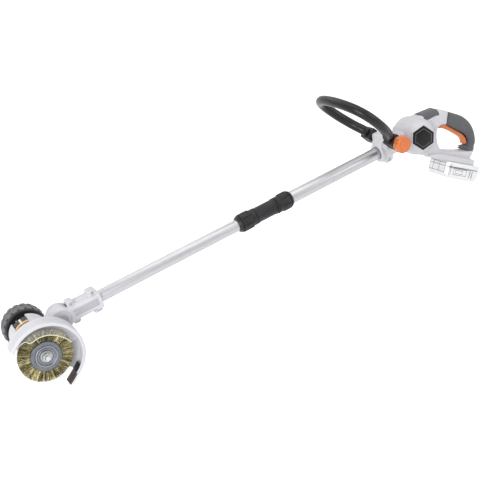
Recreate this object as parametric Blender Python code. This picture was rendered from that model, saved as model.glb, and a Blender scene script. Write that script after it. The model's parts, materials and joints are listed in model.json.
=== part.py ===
"""Cordless joint cleaner: a wire brush head on a telescopic pole with a battery handle.

Every length is in metres.  The tool frame has its origin where the head tilts, X along the
pole towards the handle, Y along the brush spindle towards the guide wheel and Z up.  The
last section lays the tool on the floor, on its flap, its wheel and its battery.
"""

import math

import bmesh
import bpy
from mathutils import Matrix, Vector

# Clearances
GAP = 0.0003            # between pieces that touch
RUN_GAP = 0.0005        # round a shaft that turns
MOVE_GAP = 0.0010       # round a part that swings or slides
PAST = 0.0100           # how far a cutter runs past what it cuts
STEP = 0.0010           # small shoulders, chamfers and overlaps of joined shapes

# Pole
LOWER_TUBE_D = 0.0270
UPPER_TUBE_D = 0.0300
UPPER_TUBE_WALL = 0.0011
LOWER_TUBE_WALL = 0.0012
LOWER_TUBE_START = 0.034
LOWER_TUBE_OVERLAP = 0.205   # length hidden in the upper tube and collar
COLLAR_START = 0.440
UPPER_TUBE_INSET = 0.004     # from the front nut's end to the upper tube's
UPPER_TUBE_END = 0.936       # inside the handle's casing

# Coiled lead inside the pole, at its shortest, with the plug that holds it in the upper tube
LEAD_START = 0.2600
LEAD_R = 0.0060
LEAD_PLUG_LENGTH = 0.0080
LEAD_PLUG_INSET = 0.0020

# Collar of the telescope
NUT_R = 0.0212
SLEEVE_R = 0.0182
FRONT_NUT_LENGTH = 0.046
SLEEVE_LENGTH = 0.058
REAR_NUT_LENGTH = 0.040
NUT_NOSE = 0.0045
NUT_CHAMFER = 0.0025
THREAD_LENGTH = 0.020        # how far each nut is screwed over the sleeve
COLLET_INSET = 0.006
NUT_RIBS = 12
NUT_RIB_RISE = 0.0010

# Head: the brush spindle's place, seen from the tilt pivot
SPINDLE_X = -0.0641
SPINDLE_Z = -0.0296
LUG_R = 0.0255
LUG_HALF = 0.0100
LUG_ROOT_HALF = 0.0240
LUG_ROOT_SHARE = 0.72        # where the lug starts, as a share of the drum's radius
CHEEK_R = 0.0265
CHEEK_THICKNESS = 0.0100
PIVOT_PIN_R = 0.0050
PIVOT_CAP_R = 0.0140
PIVOT_CAP_HEIGHT = 0.0035
LUG_ROOM = 0.0040            # round the lug, inside the neck's two cheeks

# Brush
BRUSH_R = 0.0575
BRUSH_ROOT_R = 0.0300
BRUSH_CENTRE_Y = -0.0630
BRUSH_WIDTH = 0.0140
BRISTLE_COUNT = 75           # strands round the brush in each of its rows
BRISTLE_ROWS = 4
BRISTLE_ROOT_RISE = 0.0040   # the packed root's height above the disc and the bore
BRISTLE_UNEVEN = 0.0012      # how much shorter the shortest strands are
BRISTLE_SWAY = 0.00035       # how far a strand's tip leans aside
BRISTLE_TAPER = 0.55         # a strand's width at its tip, as a share of that at its root
DISC_R = 0.0326
DISC_THICKNESS = 0.0016
DISH_R = 0.0210
DISH_DEPTH = 0.0022
DISH_SLOPE = 0.0040
SPINDLE_R = 0.0060
NUT_HEX_R = 0.0095
NUT_FLANGE_R = 0.0130
NUT_FLANGE_THICKNESS = 0.0020
NUT_HEIGHT = 0.0085

# Hood over the brush
HOOD_R = 0.0780
HOOD_WALL = 0.0026
HOOD_FRONT_Y = -0.0850
HOOD_BACK_Y = -0.0500
HOOD_LIP_R = 0.0700
HOOD_BACK_INNER_R = 0.0200
HOOD_START_DEG = -57.0
HOOD_END_DEG = 141.0
VISOR_INNER_R = 0.0500
VISOR_DROP = 0.0050           # how much the sill gives way at the visor's low end
VISOR_STEP_SHARE = 0.478      # the sill's step, as a share of the way from sill to hood
VISOR_END_SHARE = 0.458       # the sill's high end, as a share of what is left after that
VISOR_START_DEG = 9.0
VISOR_STEP_DEG = 113.0
VISOR_END_DEG = 131.0
VISOR_THICKNESS = 0.0016
FLAP_THICKNESS = 0.0035
FLAP_LENGTH = 0.044
FLAP_WIDTH = 0.0240
FLAP_TURN_DEG = 3.0
FLAP_HOLD = 0.0140           # how far the flap reaches up inside the hood

# Motor housing
DRUM_R = 0.0420
DRUM_WALL = 0.0026
DRUM_END_Y = 0.0620
DRUM_FRONT_WALL = 0.0080
WINDOW_START_DEG = 80.0
WINDOW_END_DEG = 122.0
WINDOW_START_Y = 0.0130
WINDOW_END_Y = 0.0580
CAP_THICKNESS = 0.0045
CAP_CHAMFER = 0.0030
CAP_BOSS_ROOT_R = 0.0160
CAP_BOSS_R = 0.0125
CAP_WHEEL_GAP = 0.0020
MOTOR_LENGTH = 0.0300
MOTOR_WALL = 0.0025
ROTOR_R = 0.0330
ROTOR_END_GAP = 0.0025
GEAR_MOTOR_GAP = 0.0050
SHAFT_R = 0.0030

# Reduction gear between motor and brush
GEAR_MODULE = 0.0015
SUN_TEETH = 12
PLANET_TEETH = 12
RING_TEETH = 36
PLANET_COUNT = 3
GEAR_WIDTH = 0.0100
GEAR_BACKLASH = 0.00035
ADDENDUM = 0.85              # tooth height above the pitch circle, in modules
DEDENDUM = 1.15              # tooth depth below it
RING_OVERHANG = 0.0010
CARRIER_R = 0.0225
CARRIER_THICKNESS = 0.0050
CARRIER_GAP = 0.0015
PLANET_PIN_R = 0.0025
BEARING_OUTER_R = 0.0130
BEARING_SEAT = 0.0020        # wall left in front of the bearing

# Guide wheel
WHEEL_R = 0.0483
WHEEL_NEAR_Y = 0.0860
WHEEL_WIDTH = 0.0340
TYRE_THICKNESS = 0.0085
TYRE_SHOULDER = 0.0050
TYRE_SHOULDER_DROP = 0.0030
TREAD_DEPTH = 0.0028
TREAD_BLOCKS = 18
RIM_WALL = 0.0030
RIM_HUB_R = 0.0110
RIM_HUB_RECESS = 0.0060      # from the wheel's outer face to the hub's
RIM_DISC_OFFSET = 0.0040
AXLE_R = 0.0050
AXLE_HEAD_R = 0.0085
AXLE_HEAD_HEIGHT = 0.0040

# Neck clamp that joins head and pole
NECK_END_X = 0.0920
NECK_HALF_HEIGHT = 0.0160
NECK_HALF_WIDTH = 0.0203
NECK_ROUND = 0.0045
NECK_PANEL_HALF = 0.0105
NECK_PANEL_DEPTH = 0.0012
NECK_PANEL_MARGIN = 0.0050
NECK_BOSS_R = 0.0065
NECK_BOSS_X = (0.0310, 0.0800)
NECK_BOSS_Z = 0.0202
NECK_BOSS_Y = 0.0100
SCREW_R = 0.0020
SCREW_HEAD_R = 0.0036
SCREW_HEAD_HEIGHT = 0.0026

# Loop handle and its bracket
BRACKET_START_X = 0.8400
BRACKET_LENGTH = 0.0540
BRACKET_R = 0.0215
BRACKET_HEAD_R = 0.0140      # round the loop handle's bolt
BRACKET_LUG_DEPTH = 0.0310   # below the pole's axis
BRACKET_ROUND = 0.0080
BRACKET_SCREW_X = 0.0210     # from the bracket's front
BRACKET_SCREW_Z = -0.0225
BRACKET_HALF_WIDTH = 0.0270
LOOP_PIVOT_X = 0.8660
LOOP_PIVOT_Z = 0.0260
LOOP_LEAN_DEG = 52.0
LOOP_TUBE_R = 0.0115
LOOP_HALF_SPAN = 0.0465      # half the distance between the two ends
LOOP_NECK = 0.0100           # how far the tube runs before it bends out
LOOP_SPREAD = 0.0020
LOOP_HALF_WIDTH = 0.0915     # half the width at the widest place
LOOP_REACH = 0.1800
LOOP_END_START = 0.0200
LOOP_END_SIZE = 0.0300
LOOP_END_OUTER = 0.0610
LOOP_END_CORNER = 0.0060
LOOP_END_ROUND = 0.0030
LOOP_BOLT_R = 0.0040
BOLT_HEAD_R = 0.0080
BOLT_HEAD_HEIGHT = 0.0060
BOLT_COVER = 0.0060          # knob in front of the bolt's tip
KNOB_R = 0.0205
KNOB_DEPTH = 0.0210
KNOB_CHAMFER = 0.0025
KNOB_DIMPLE = 0.0020
KNOB_DIMPLE_R = 0.0075
KNOB_LOBES = 6
KNOB_LOBE_RISE = 0.0009

# Handle casing
CASE_HALF_WIDTH = 0.0385
CASE_CORE_HALF = 0.0205
CASE_WALL = 0.0040
DRUM_CASE_X = 0.9530
DRUM_CASE_Z = -0.0020
DRUM_CASE_R = 0.0450
DRUM_CASE_START = 0.0080     # from the seam to the round body's step
DRUM_CASE_ROUND = 0.0060
SLEEVE_START_X = 0.8970
SLEEVE_HALF_HEIGHT = 0.0225
CASE_CORE_ROUND = 0.0060
CASE_TOP_LINE = [(0.976, 0.0410), (1.000, 0.0400), (1.018, 0.0378), (1.036, 0.0325)]
CASE_THROAT_LINE = [(1.0300, -0.0050), (1.0200, -0.0060), (1.0130, -0.0130),
                    (1.0090, -0.0240), (1.0075, -0.0380), (1.0090, -0.0540),
                    (1.0170, -0.0690)]
POCKET_HALF = 0.0270         # the hollow inside the round body, at its edge
POCKET_CROWN = 0.0050        # and how much more it has in its middle
BADGE_R = 0.0320
BADGE_RIM = 0.0024
BADGE_THICKNESS = 0.0020
BADGE_EDGE = 0.0006
BADGE_TURN_DEG = 70.0
PAD_HALF_WIDTH = 0.0165
PAD_ROUND = 0.0015
PAD_BASE_LINE = [(0.9730, 0.0370), (1.0000, 0.0368), (1.0170, 0.0345)]
PAD_FACE_LINE = [(1.0170, 0.0390), (1.0000, 0.0413), (0.9730, 0.0424)]
LOCK_START_X = 1.0320
LOCK_LENGTH = 0.0170
LOCK_HALF_WIDTH = 0.0070
LOCK_FLOOR_Z = 0.0110
LOCK_TOP_Z = 0.0350
LOCK_SLOPE = 0.0105
LOCK_TRAVEL = 0.0025
LOCK_CREST = 0.0100          # length of the lock button's gentler rear slope
LOCK_ROUND = 0.0012
GRIP_HALF_WIDTH = 0.0175
GRIP_ROUND = 0.0100
GRIP_OUTER_LINE = [(1.0760, 0.0065), (1.1000, -0.0115), (1.1190, -0.0360),
                   (1.1275, -0.0640), (1.1260, -0.0920)]
GRIP_INNER_LINE = [(1.0810, -0.0905), (1.0900, -0.0870), (1.1020, -0.0935),
                   (1.1045, -0.0860), (1.1030, -0.0717), (1.0943, -0.0566),
                   (1.0736, -0.0369)]
GRIP_JOINT_TOP = (1.0560, 0.0205)
GRIP_JOINT_LOW = (1.0440, -0.0095)
GRIP_FOOT_FRONT = (1.0680, -0.0940)
GRIP_FOOT_REAR = (1.1130, -0.1110)
TRIGGER_PIVOT = (1.0360, -0.0040)
TRIGGER_FRONT = [(1.0270, -0.0140), (1.0360, -0.0180), (1.0470, -0.0255), (1.0590, -0.0355),
                 (1.0713, -0.0474), (1.0875, -0.0647), (1.0926, -0.0753), (1.0935, -0.0860)]
TRIGGER_BACK = [(1.1000, -0.0885), (1.1030, -0.0830), (1.1010, -0.0715), (1.0935, -0.0578),
                (1.0736, -0.0378), (1.0560, -0.0215)]
TRIGGER_MOUTH = [(1.0245, -0.0170), (1.0300, -0.0260), (1.0550, -0.0440), (1.0750, -0.0600),
                 (1.0860, -0.0760), (1.0905, -0.0885), (1.1000, -0.0915)]
TRIGGER_LUG_R = 0.0060
TRIGGER_STUB_R = 0.0030
TRIGGER_STUB_LENGTH = 0.0030
TRIGGER_ROUND = 0.0025
TRIGGER_HALF_WIDTH = 0.0080
TRIGGER_TRAVEL_DEG = 5.0
TRIGGER_SPARE_DEG = 1.5
SWITCH_LOW = (1.0660, -0.0170)
SWITCH_HIGH = (1.0840, -0.0050)
SWITCH_HALF_WIDTH = 0.0070

# Circuit board and terminals
BOARD_START_X = 0.9430
BOARD_LENGTH = 0.0430
BOARD_Z = -0.0200
BOARD_THICKNESS = 0.0016
BOARD_EDGE_GAP = 0.0004
TERMINAL_LENGTH = 0.0130

# Battery foot: its top front corner and its slope below the pole line
FOOT_X = 1.0040
FOOT_Z = -0.0677
FOOT_SLOPE_DEG = 32.0
FOOT_LENGTH = 0.1120
FOOT_THICKNESS = 0.0160
FOOT_FRONT = -0.0380
FOOT_HALF_WIDTH = 0.0340
FOOT_FLANGE_START = 0.0100
FOOT_ROUND = 0.0030
SLOT_FRONT = 0.0080
SLIDE_ROOM = 0.0006
BATTERY_FRONT = 0.0230         # along the foot, from its corner at the strut
BATTERY_LENGTH = 0.1100
BATTERY_HEIGHT = 0.0400
BATTERY_HALF_WIDTH = 0.0370
BATTERY_NOSE = 0.0080
BATTERY_LID = 0.0120
BATTERY_WALL = 0.0025
BATTERY_ROUND = 0.0060
BATTERY_BAND_START = BATTERY_FRONT + 0.0780
BATTERY_BAND_WIDTH = 0.0080
BATTERY_BAND_RISE = 0.0010
BATTERY_BAND_ROUND = 0.0040
BATTERY_KEEL = 0.0100         # the slope along the lower edges of its ends
BATTERY_LID_CHAMFER = 0.0040
BATTERY_LID_ROUND = 0.0030
BUTTON_LENGTH = 0.0110
BUTTON_HALF_WIDTH = 0.0120
BUTTON_TRAVEL = 0.0030
RAIL_HALF_WIDTH = 0.0200
RAIL_HEIGHT = 0.0080
RAIL_LIP = 0.0040
RAIL_END_GAP = 0.0100
CELL_R = 0.0090
CELL_LENGTH = 0.0610
CELL_COUNT = 5

# How the tool lies on the floor
REST_ROLL_DEG = -10.1512
REST_PITCH_DEG = -4.3150
REST_LIFT = 0.10160
REST_SHIFT_X = -0.501928      # puts the middle of the tool's box over the origin
REST_SHIFT_Y = -0.011507

ROUND_STEPS = 24
POLE_STEPS = 24
SMALL_STEPS = 12
DRUM_CASE_STEPS = 28
KNOB_STEPS = 30
BORE_STEPS = 15


# Scene and materials

def clear_scene():
    for existing in list(bpy.data.objects):
        bpy.data.objects.remove(existing, do_unlink=True)


def material(name, colour, roughness, metallic=0.0):
    mat = bpy.data.materials.new(name)
    mat.use_nodes = True
    shader = mat.node_tree.nodes["Principled BSDF"]
    shader.inputs["Base Color"].default_value = (*colour, 1.0)
    shader.inputs["Roughness"].default_value = roughness
    shader.inputs["Metallic"].default_value = metallic
    mat.diffuse_color = (*colour, 1.0)
    return mat


FINISHES = {
    "casing": ((0.80, 0.79, 0.83), 0.42, 0.0),
    "grip": ((0.10, 0.10, 0.11), 0.75, 0.0),
    "gloss_black": ((0.02, 0.02, 0.022), 0.15, 0.0),
    "black_plastic": ((0.03, 0.03, 0.033), 0.45, 0.0),
    "orange": ((0.76, 0.16, 0.03), 0.40, 0.0),
    "amber": ((0.75, 0.42, 0.12), 0.35, 0.0),
    "clear": ((0.90, 0.92, 0.92), 0.08, 0.0),
    "tube": ((0.85, 0.85, 0.87), 0.25, 0.9),
    "steel": ((0.55, 0.56, 0.58), 0.30, 1.0),
    "zinc": ((0.50, 0.54, 0.60), 0.38, 1.0),
    "wire": ((0.50, 0.42, 0.16), 0.40, 0.9),
    "motor": ((0.12, 0.12, 0.13), 0.50, 0.4),
    "rubber": ((0.035, 0.035, 0.038), 0.85, 0.0),
    "tyre": ((0.07, 0.07, 0.075), 0.80, 0.0),
    "board": ((0.03, 0.20, 0.08), 0.50, 0.0),
    "cell": ((0.15, 0.35, 0.55), 0.40, 0.0),
}


# Building blocks

def empty(name, parent=None, location=(0, 0, 0), rotation=(0, 0, 0)):
    frame = bpy.data.objects.new(name, None)
    bpy.context.scene.collection.objects.link(frame)
    frame.parent = parent
    frame.location = location
    frame.rotation_euler = rotation
    return frame


def add_object(name, bm, finish, parent, location=(0, 0, 0), rotation=(0, 0, 0), smooth=35):
    bmesh.ops.recalc_face_normals(bm, faces=bm.faces)
    mesh = bpy.data.meshes.new(name)
    bm.to_mesh(mesh)
    bm.free()
    if smooth:
        mesh.shade_smooth()
        mesh.set_sharp_from_angle(angle=math.radians(smooth))
    obj = bpy.data.objects.new(name, mesh)
    bpy.context.scene.collection.objects.link(obj)
    obj.parent = parent
    obj.location = location
    obj.rotation_euler = rotation
    if finish:
        colour, roughness, metallic = FINISHES[finish]
        mesh.materials.append(material(name, colour, roughness, metallic))
    return obj


def place_on_axis(axis, radius, angle, along):
    """A point at a radius and an angle round the X or the Y axis."""
    if axis == "X":
        return Vector((along, radius * math.cos(angle), radius * math.sin(angle)))
    return Vector((radius * math.cos(angle), along, radius * math.sin(angle)))


def turned_mesh(profile, axis, steps=ROUND_STEPS, radius_at=None):
    """A closed profile of (radius, along) points, turned a full circle round an axis."""
    bm = bmesh.new()
    rings = []
    for index in range(steps):
        angle = 2 * math.pi * (index + 0.5) / steps
        ring = []
        for radius, along in profile:
            scale = radius_at(angle, radius) if radius_at else radius
            ring.append(bm.verts.new(place_on_axis(axis, scale, angle, along)))
        rings.append(ring)
    count = len(profile)
    for index in range(steps):
        ring, other = rings[index], rings[(index + 1) % steps]
        for point in range(count):
            following = (point + 1) % count
            bm.faces.new((ring[point], ring[following], other[following], other[point]))
    bmesh.ops.remove_doubles(bm, verts=bm.verts, dist=1e-7)
    loose = [edge for edge in bm.edges if not edge.link_faces]
    bmesh.ops.delete(bm, geom=loose, context="EDGES")
    return bm


def turned(name, profile, axis, finish, parent, steps=ROUND_STEPS, radius_at=None, **place):
    bm = turned_mesh(profile, axis, steps, radius_at)
    return add_object(name, bm, finish, parent, **place)


def ring_profile(inner, outer, start, end):
    return [(inner, start), (outer, start), (outer, end), (inner, end)]


def sector_mesh(profile, start_deg, end_deg, steps):
    """A closed profile of (radius, along) points, turned part of a circle round Y."""
    bm = bmesh.new()
    rings = []
    for index in range(steps + 1):
        angle = math.radians(start_deg + (end_deg - start_deg) * index / steps)
        rings.append([bm.verts.new(place_on_axis("Y", r, angle, y)) for r, y in profile])
    count = len(profile)
    for ring, other in zip(rings, rings[1:]):
        for point in range(count):
            following = (point + 1) % count
            bm.faces.new((ring[point], ring[following], other[following], other[point]))
    bm.faces.new(rings[0])
    bm.faces.new(list(reversed(rings[-1])))
    return bm


def inset_outline(outline, distance):
    """An outline of (x, z) points moved inwards by a distance, corner by corner."""
    area = sum(x0 * z1 - x1 * z0 for (x0, z0), (x1, z1) in zip(outline, outline[1:] + outline[:1]))
    side = 1 if area > 0 else -1
    moved = []
    for index, (x, z) in enumerate(outline):
        before = Vector((x, z)) - Vector(outline[index - 1])
        after = Vector(outline[(index + 1) % len(outline)]) - Vector((x, z))
        first = Vector((-before.y, before.x)).normalized() * side
        second = Vector((-after.y, after.x)).normalized() * side
        step = (first + second) / (1 + first.dot(second)) * distance
        moved.append((x + step.x, z + step.y))
    return moved


def prism_mesh(outline, start, end, edge_round=0.0, round_start=False, segments=2):
    """An outline of (x, z) points, drawn out along Y, with the edge at its end rounded."""
    toward = 1 if end > start else -1
    levels = [(end, edge_round)]
    if edge_round:
        levels = []
        for index in range(segments + 1):
            turn = math.pi / 2 * index / segments
            levels.append((end - toward * edge_round * (1 - math.sin(turn)),
                           edge_round * (1 - math.cos(turn))))
    if edge_round and round_start:
        levels = [(start + end - y, inset) for y, inset in reversed(levels)] + levels
    else:
        levels = [(start, 0.0)] + levels
    bm = bmesh.new()
    rings = []
    for y, inset in levels:
        points = inset_outline(outline, inset) if inset else outline
        rings.append([bm.verts.new((x, y, z)) for x, z in points])
    count = len(outline)
    for ring, other in zip(rings, rings[1:]):
        for point in range(count):
            following = (point + 1) % count
            bm.faces.new((ring[point], ring[following], other[following], other[point]))
    bm.faces.new(list(reversed(rings[0])))
    bm.faces.new(rings[-1])
    return bm


def prism(name, outline, start, end, finish, parent, edge_round=0.0, round_start=False,
          segments=2, **place):
    bm = prism_mesh(outline, start, end, edge_round, round_start, segments)
    return add_object(name, bm, finish, parent, **place)


def box_mesh(low, high):
    outline = [(low[0], low[2]), (high[0], low[2]), (high[0], high[2]), (low[0], high[2])]
    return prism_mesh(outline, low[1], high[1])


def box(name, low, high, finish, parent, **place):
    return add_object(name, box_mesh(low, high), finish, parent, **place)


def arc(centre_x, centre_z, radius, start_deg, end_deg, steps):
    points = []
    for index in range(steps + 1):
        angle = math.radians(start_deg + (end_deg - start_deg) * index / steps)
        points.append((centre_x + radius * math.cos(angle), centre_z + radius * math.sin(angle)))
    return points


def curve_through(points, steps=4):
    """A smooth open line through points of any size, with steps stretches between two."""
    rows = [Vector(p) for p in points]
    rows = [2 * rows[0] - rows[1]] + rows + [2 * rows[-1] - rows[-2]]
    line = []
    for p0, p1, p2, p3 in zip(rows, rows[1:], rows[2:], rows[3:]):
        for index in range(steps):
            t = index / steps
            line.append(0.5 * (2 * p1 + (p2 - p0) * t + (2 * p0 - 5 * p1 + 4 * p2 - p3) * t ** 2
                               + (3 * p1 - p0 - 3 * p2 + p3) * t ** 3))
    line.append(rows[-2])
    return [tuple(p) for p in line]


def hide_cutter(cutter):
    cutter.hide_render = True
    cutter.display_type = "WIRE"


def cut(target, bm, label):
    """Cuts a closed mesh, given in the target's own frame, out of the target."""
    cutter = add_object(f"cut_{target.name}_{label}", bm, None, target, smooth=0)
    hide_cutter(cutter)
    modifier = target.modifiers.new(f"cut_{label}", "BOOLEAN")
    modifier.operation = "DIFFERENCE"
    modifier.solver = "EXACT"
    modifier.object = cutter


def join_on(target, bm, label):
    """Adds a closed mesh, given in the target's own frame, to the target."""
    addition = add_object(f"add_{target.name}_{label}", bm, None, target, smooth=0)
    hide_cutter(addition)
    modifier = target.modifiers.new(f"add_{label}", "BOOLEAN")
    modifier.operation = "UNION"
    modifier.solver = "EXACT"
    modifier.object = addition


def rod_mesh(axis, radius, start, end, steps=SMALL_STEPS, at=(0, 0, 0)):
    bm = turned_mesh([(0, start), (radius, start), (radius, end), (0, end)], axis, steps)
    bmesh.ops.translate(bm, verts=bm.verts, vec=at)
    return bm


# Frames of the bodies

def make_frames():
    frames = {}
    frames["tool"] = empty("tool")
    frames["head"] = empty("head_pivot", frames["tool"])
    frames["spindle"] = empty("spindle_axis", frames["head"], (SPINDLE_X, 0, SPINDLE_Z))
    frames["loop"] = empty("loop_pivot", frames["tool"], (LOOP_PIVOT_X, 0, LOOP_PIVOT_Z))
    frames["foot"] = empty("battery_foot", frames["tool"], (FOOT_X, 0, FOOT_Z),
                           (0, math.radians(FOOT_SLOPE_DEG), 0))
    return frames


# Head

def make_motor_housing(frames):
    front = HOOD_BACK_Y + GAP
    inner = DRUM_R - DRUM_WALL
    drum = turned(
        "motor_housing",
        [(SPINDLE_R + RUN_GAP, front), (DRUM_R, front), (DRUM_R, DRUM_END_Y),
         (inner, DRUM_END_Y), (inner, front + DRUM_FRONT_WALL),
         (SPINDLE_R + RUN_GAP, front + DRUM_FRONT_WALL)],
        "Y", "casing", frames["spindle"])
    arm = [(-SPINDLE_X + x, -SPINDLE_Z + z) for x, z in arc(0, 0, LUG_R, -75, 125, 12)]
    reach = Vector((-SPINDLE_X, -SPINDLE_Z)).normalized() * (DRUM_R - DRUM_WALL / 2)
    side = Vector((-reach.y, reach.x)).normalized() * LUG_ROOT_HALF
    start = reach * LUG_ROOT_SHARE
    arm += [(start.x + side.x, start.y + side.y), (start.x - side.x, start.y - side.y)]
    lug = prism_mesh(arm, -LUG_HALF, LUG_HALF)
    join_on(drum, lug, "lug")
    cut(drum, rod_mesh("Y", inner, front + DRUM_FRONT_WALL, DRUM_END_Y + PAST, ROUND_STEPS),
        "inside")
    cut(drum, rod_mesh("Y", PIVOT_PIN_R + RUN_GAP, -LUG_HALF - PAST, LUG_HALF + PAST,
                       SMALL_STEPS, (-SPINDLE_X, 0, -SPINDLE_Z)), "pivot")
    cut(drum, sector_mesh(
        [(inner - DRUM_WALL, WINDOW_START_Y), (DRUM_R + PAST, WINDOW_START_Y),
         (DRUM_R + PAST, WINDOW_END_Y), (inner - DRUM_WALL, WINDOW_END_Y)],
        WINDOW_START_DEG, WINDOW_END_DEG, 6), "window")
    cut(drum, rod_mesh("Y", BEARING_OUTER_R + GAP, front + BEARING_SEAT,
                       front + DRUM_FRONT_WALL + STEP, 24), "bearing")


def make_housing_cap(frames):
    start = DRUM_END_Y + GAP
    boss_end = WHEEL_NEAR_Y - CAP_WHEEL_GAP
    turned(
        "housing_cap",
        [(AXLE_R + GAP, start), (DRUM_R, start), (DRUM_R, start + CAP_THICKNESS * 0.5),
         (DRUM_R - CAP_CHAMFER, start + CAP_THICKNESS),
         (CAP_BOSS_ROOT_R, start + CAP_THICKNESS), (CAP_BOSS_R, boss_end),
         (AXLE_R + GAP, boss_end)],
        "Y", "casing", frames["spindle"])


def make_hood(frames):
    profile = [
        (HOOD_BACK_INNER_R, HOOD_BACK_Y), (HOOD_R, HOOD_BACK_Y), (HOOD_R, HOOD_FRONT_Y),
        (HOOD_LIP_R, HOOD_FRONT_Y), (HOOD_LIP_R, HOOD_FRONT_Y + HOOD_WALL),
        (HOOD_R - HOOD_WALL, HOOD_FRONT_Y + HOOD_WALL),
        (HOOD_R - HOOD_WALL, HOOD_BACK_Y - HOOD_WALL),
        (HOOD_BACK_INNER_R, HOOD_BACK_Y - HOOD_WALL),
    ]
    bm = sector_mesh(profile, HOOD_START_DEG, HOOD_END_DEG, 24)
    add_object("hood", bm, "casing", frames["spindle"])


def make_visor(frames):
    start_y = HOOD_FRONT_Y + HOOD_WALL + GAP
    outer = HOOD_R - HOOD_WALL - GAP
    step_r = VISOR_INNER_R + (outer - VISOR_INNER_R) * VISOR_STEP_SHARE
    end_r = step_r + (outer - step_r) * VISOR_END_SHARE
    sill = [(VISOR_INNER_R + VISOR_DROP, VISOR_START_DEG), (VISOR_INNER_R, 40),
            (VISOR_INNER_R, 90), (VISOR_INNER_R + STEP, VISOR_STEP_DEG - 3),
            (step_r, VISOR_STEP_DEG + 3), (end_r, VISOR_END_DEG)]
    inner_line = curve_through(sill, 4)
    outline = [(r * math.cos(math.radians(a)), r * math.sin(math.radians(a)))
               for r, a in inner_line]
    outline += arc(0, 0, outer, VISOR_END_DEG, VISOR_START_DEG, 18)
    prism("visor", outline, start_y, start_y + VISOR_THICKNESS, "clear", frames["spindle"])


def flap_outline():
    """The flap's side view: it lies inside the hood's end and hangs on past it."""
    radius = HOOD_R - HOOD_WALL - GAP
    hold_deg = math.degrees(FLAP_HOLD / radius)
    outer = arc(0, 0, radius, HOOD_START_DEG + hold_deg, HOOD_START_DEG, 3)
    inner = arc(0, 0, radius - FLAP_THICKNESS, HOOD_START_DEG + hold_deg, HOOD_START_DEG, 3)
    heading = math.radians(HOOD_START_DEG - 90 + FLAP_TURN_DEG)
    reach = Vector((math.cos(heading), math.sin(heading))) * (FLAP_LENGTH - FLAP_HOLD)
    tip_outer = (outer[-1][0] + reach.x, outer[-1][1] + reach.y)
    tip_inner = (inner[-1][0] + reach.x, inner[-1][1] + reach.y)
    return outer + [tip_outer, tip_inner] + list(reversed(inner))


def make_flap(frames):
    front = HOOD_FRONT_Y + HOOD_WALL + 2 * GAP
    prism("flap", flap_outline(), front, front + FLAP_WIDTH, "rubber", frames["spindle"])


def make_motor(frames):
    outer = DRUM_R - DRUM_WALL - GAP
    bore = BEARING_OUTER_R * 0.5
    end = DRUM_END_Y
    start = end - MOTOR_LENGTH
    turned(
        "motor_can",
        [(bore, end), (outer, end), (outer, start), (outer - MOTOR_WALL, start),
         (outer - MOTOR_WALL, end - MOTOR_WALL), (bore, end - MOTOR_WALL)],
        "Y", "motor", frames["spindle"])
    gear_end = start - GEAR_MOTOR_GAP
    gear_start = gear_end - GEAR_WIDTH
    turned(
        "rotor",
        [(0, gear_start), (SHAFT_R, gear_start), (SHAFT_R, start + ROTOR_END_GAP),
         (ROTOR_R, start + ROTOR_END_GAP), (ROTOR_R, end - MOTOR_WALL - ROTOR_END_GAP),
         (SHAFT_R, end - MOTOR_WALL - ROTOR_END_GAP), (SHAFT_R, end - RUN_GAP),
         (0, end - RUN_GAP)],
        "Y", "steel", frames["spindle"], steps=16)
    return gear_start


def tooth_angle(base_radius, radius):
    """The involute angle at a radius, from the circle that the flank unwinds from."""
    if radius <= base_radius:
        return 0.0
    pressure = math.acos(base_radius / radius)
    return math.tan(pressure) - pressure


def gear_outline(teeth, addendum, dedendum, backlash):
    """A gear's outline from involute flanks, with its backlash as a length."""
    pitch = GEAR_MODULE * teeth / 2
    base = pitch * math.cos(math.radians(20))
    tip = pitch + addendum * GEAR_MODULE
    root = pitch - dedendum * GEAR_MODULE
    half = math.pi / (2 * teeth) - backlash / (2 * pitch) + tooth_angle(base, pitch)
    points = []
    for tooth in range(teeth):
        middle = 2 * math.pi * tooth / teeth
        radii = (root, tip)
        for radius in radii:
            turn = middle - half + tooth_angle(base, radius)
            points.append((radius * math.cos(turn), radius * math.sin(turn)))
        for radius in reversed(radii):
            turn = middle + half - tooth_angle(base, radius)
            points.append((radius * math.cos(turn), radius * math.sin(turn)))
    return points


def turn_outline(points, degrees):
    turn = math.radians(degrees)
    return [(x * math.cos(turn) - z * math.sin(turn), x * math.sin(turn) + z * math.cos(turn))
            for x, z in points]


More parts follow.
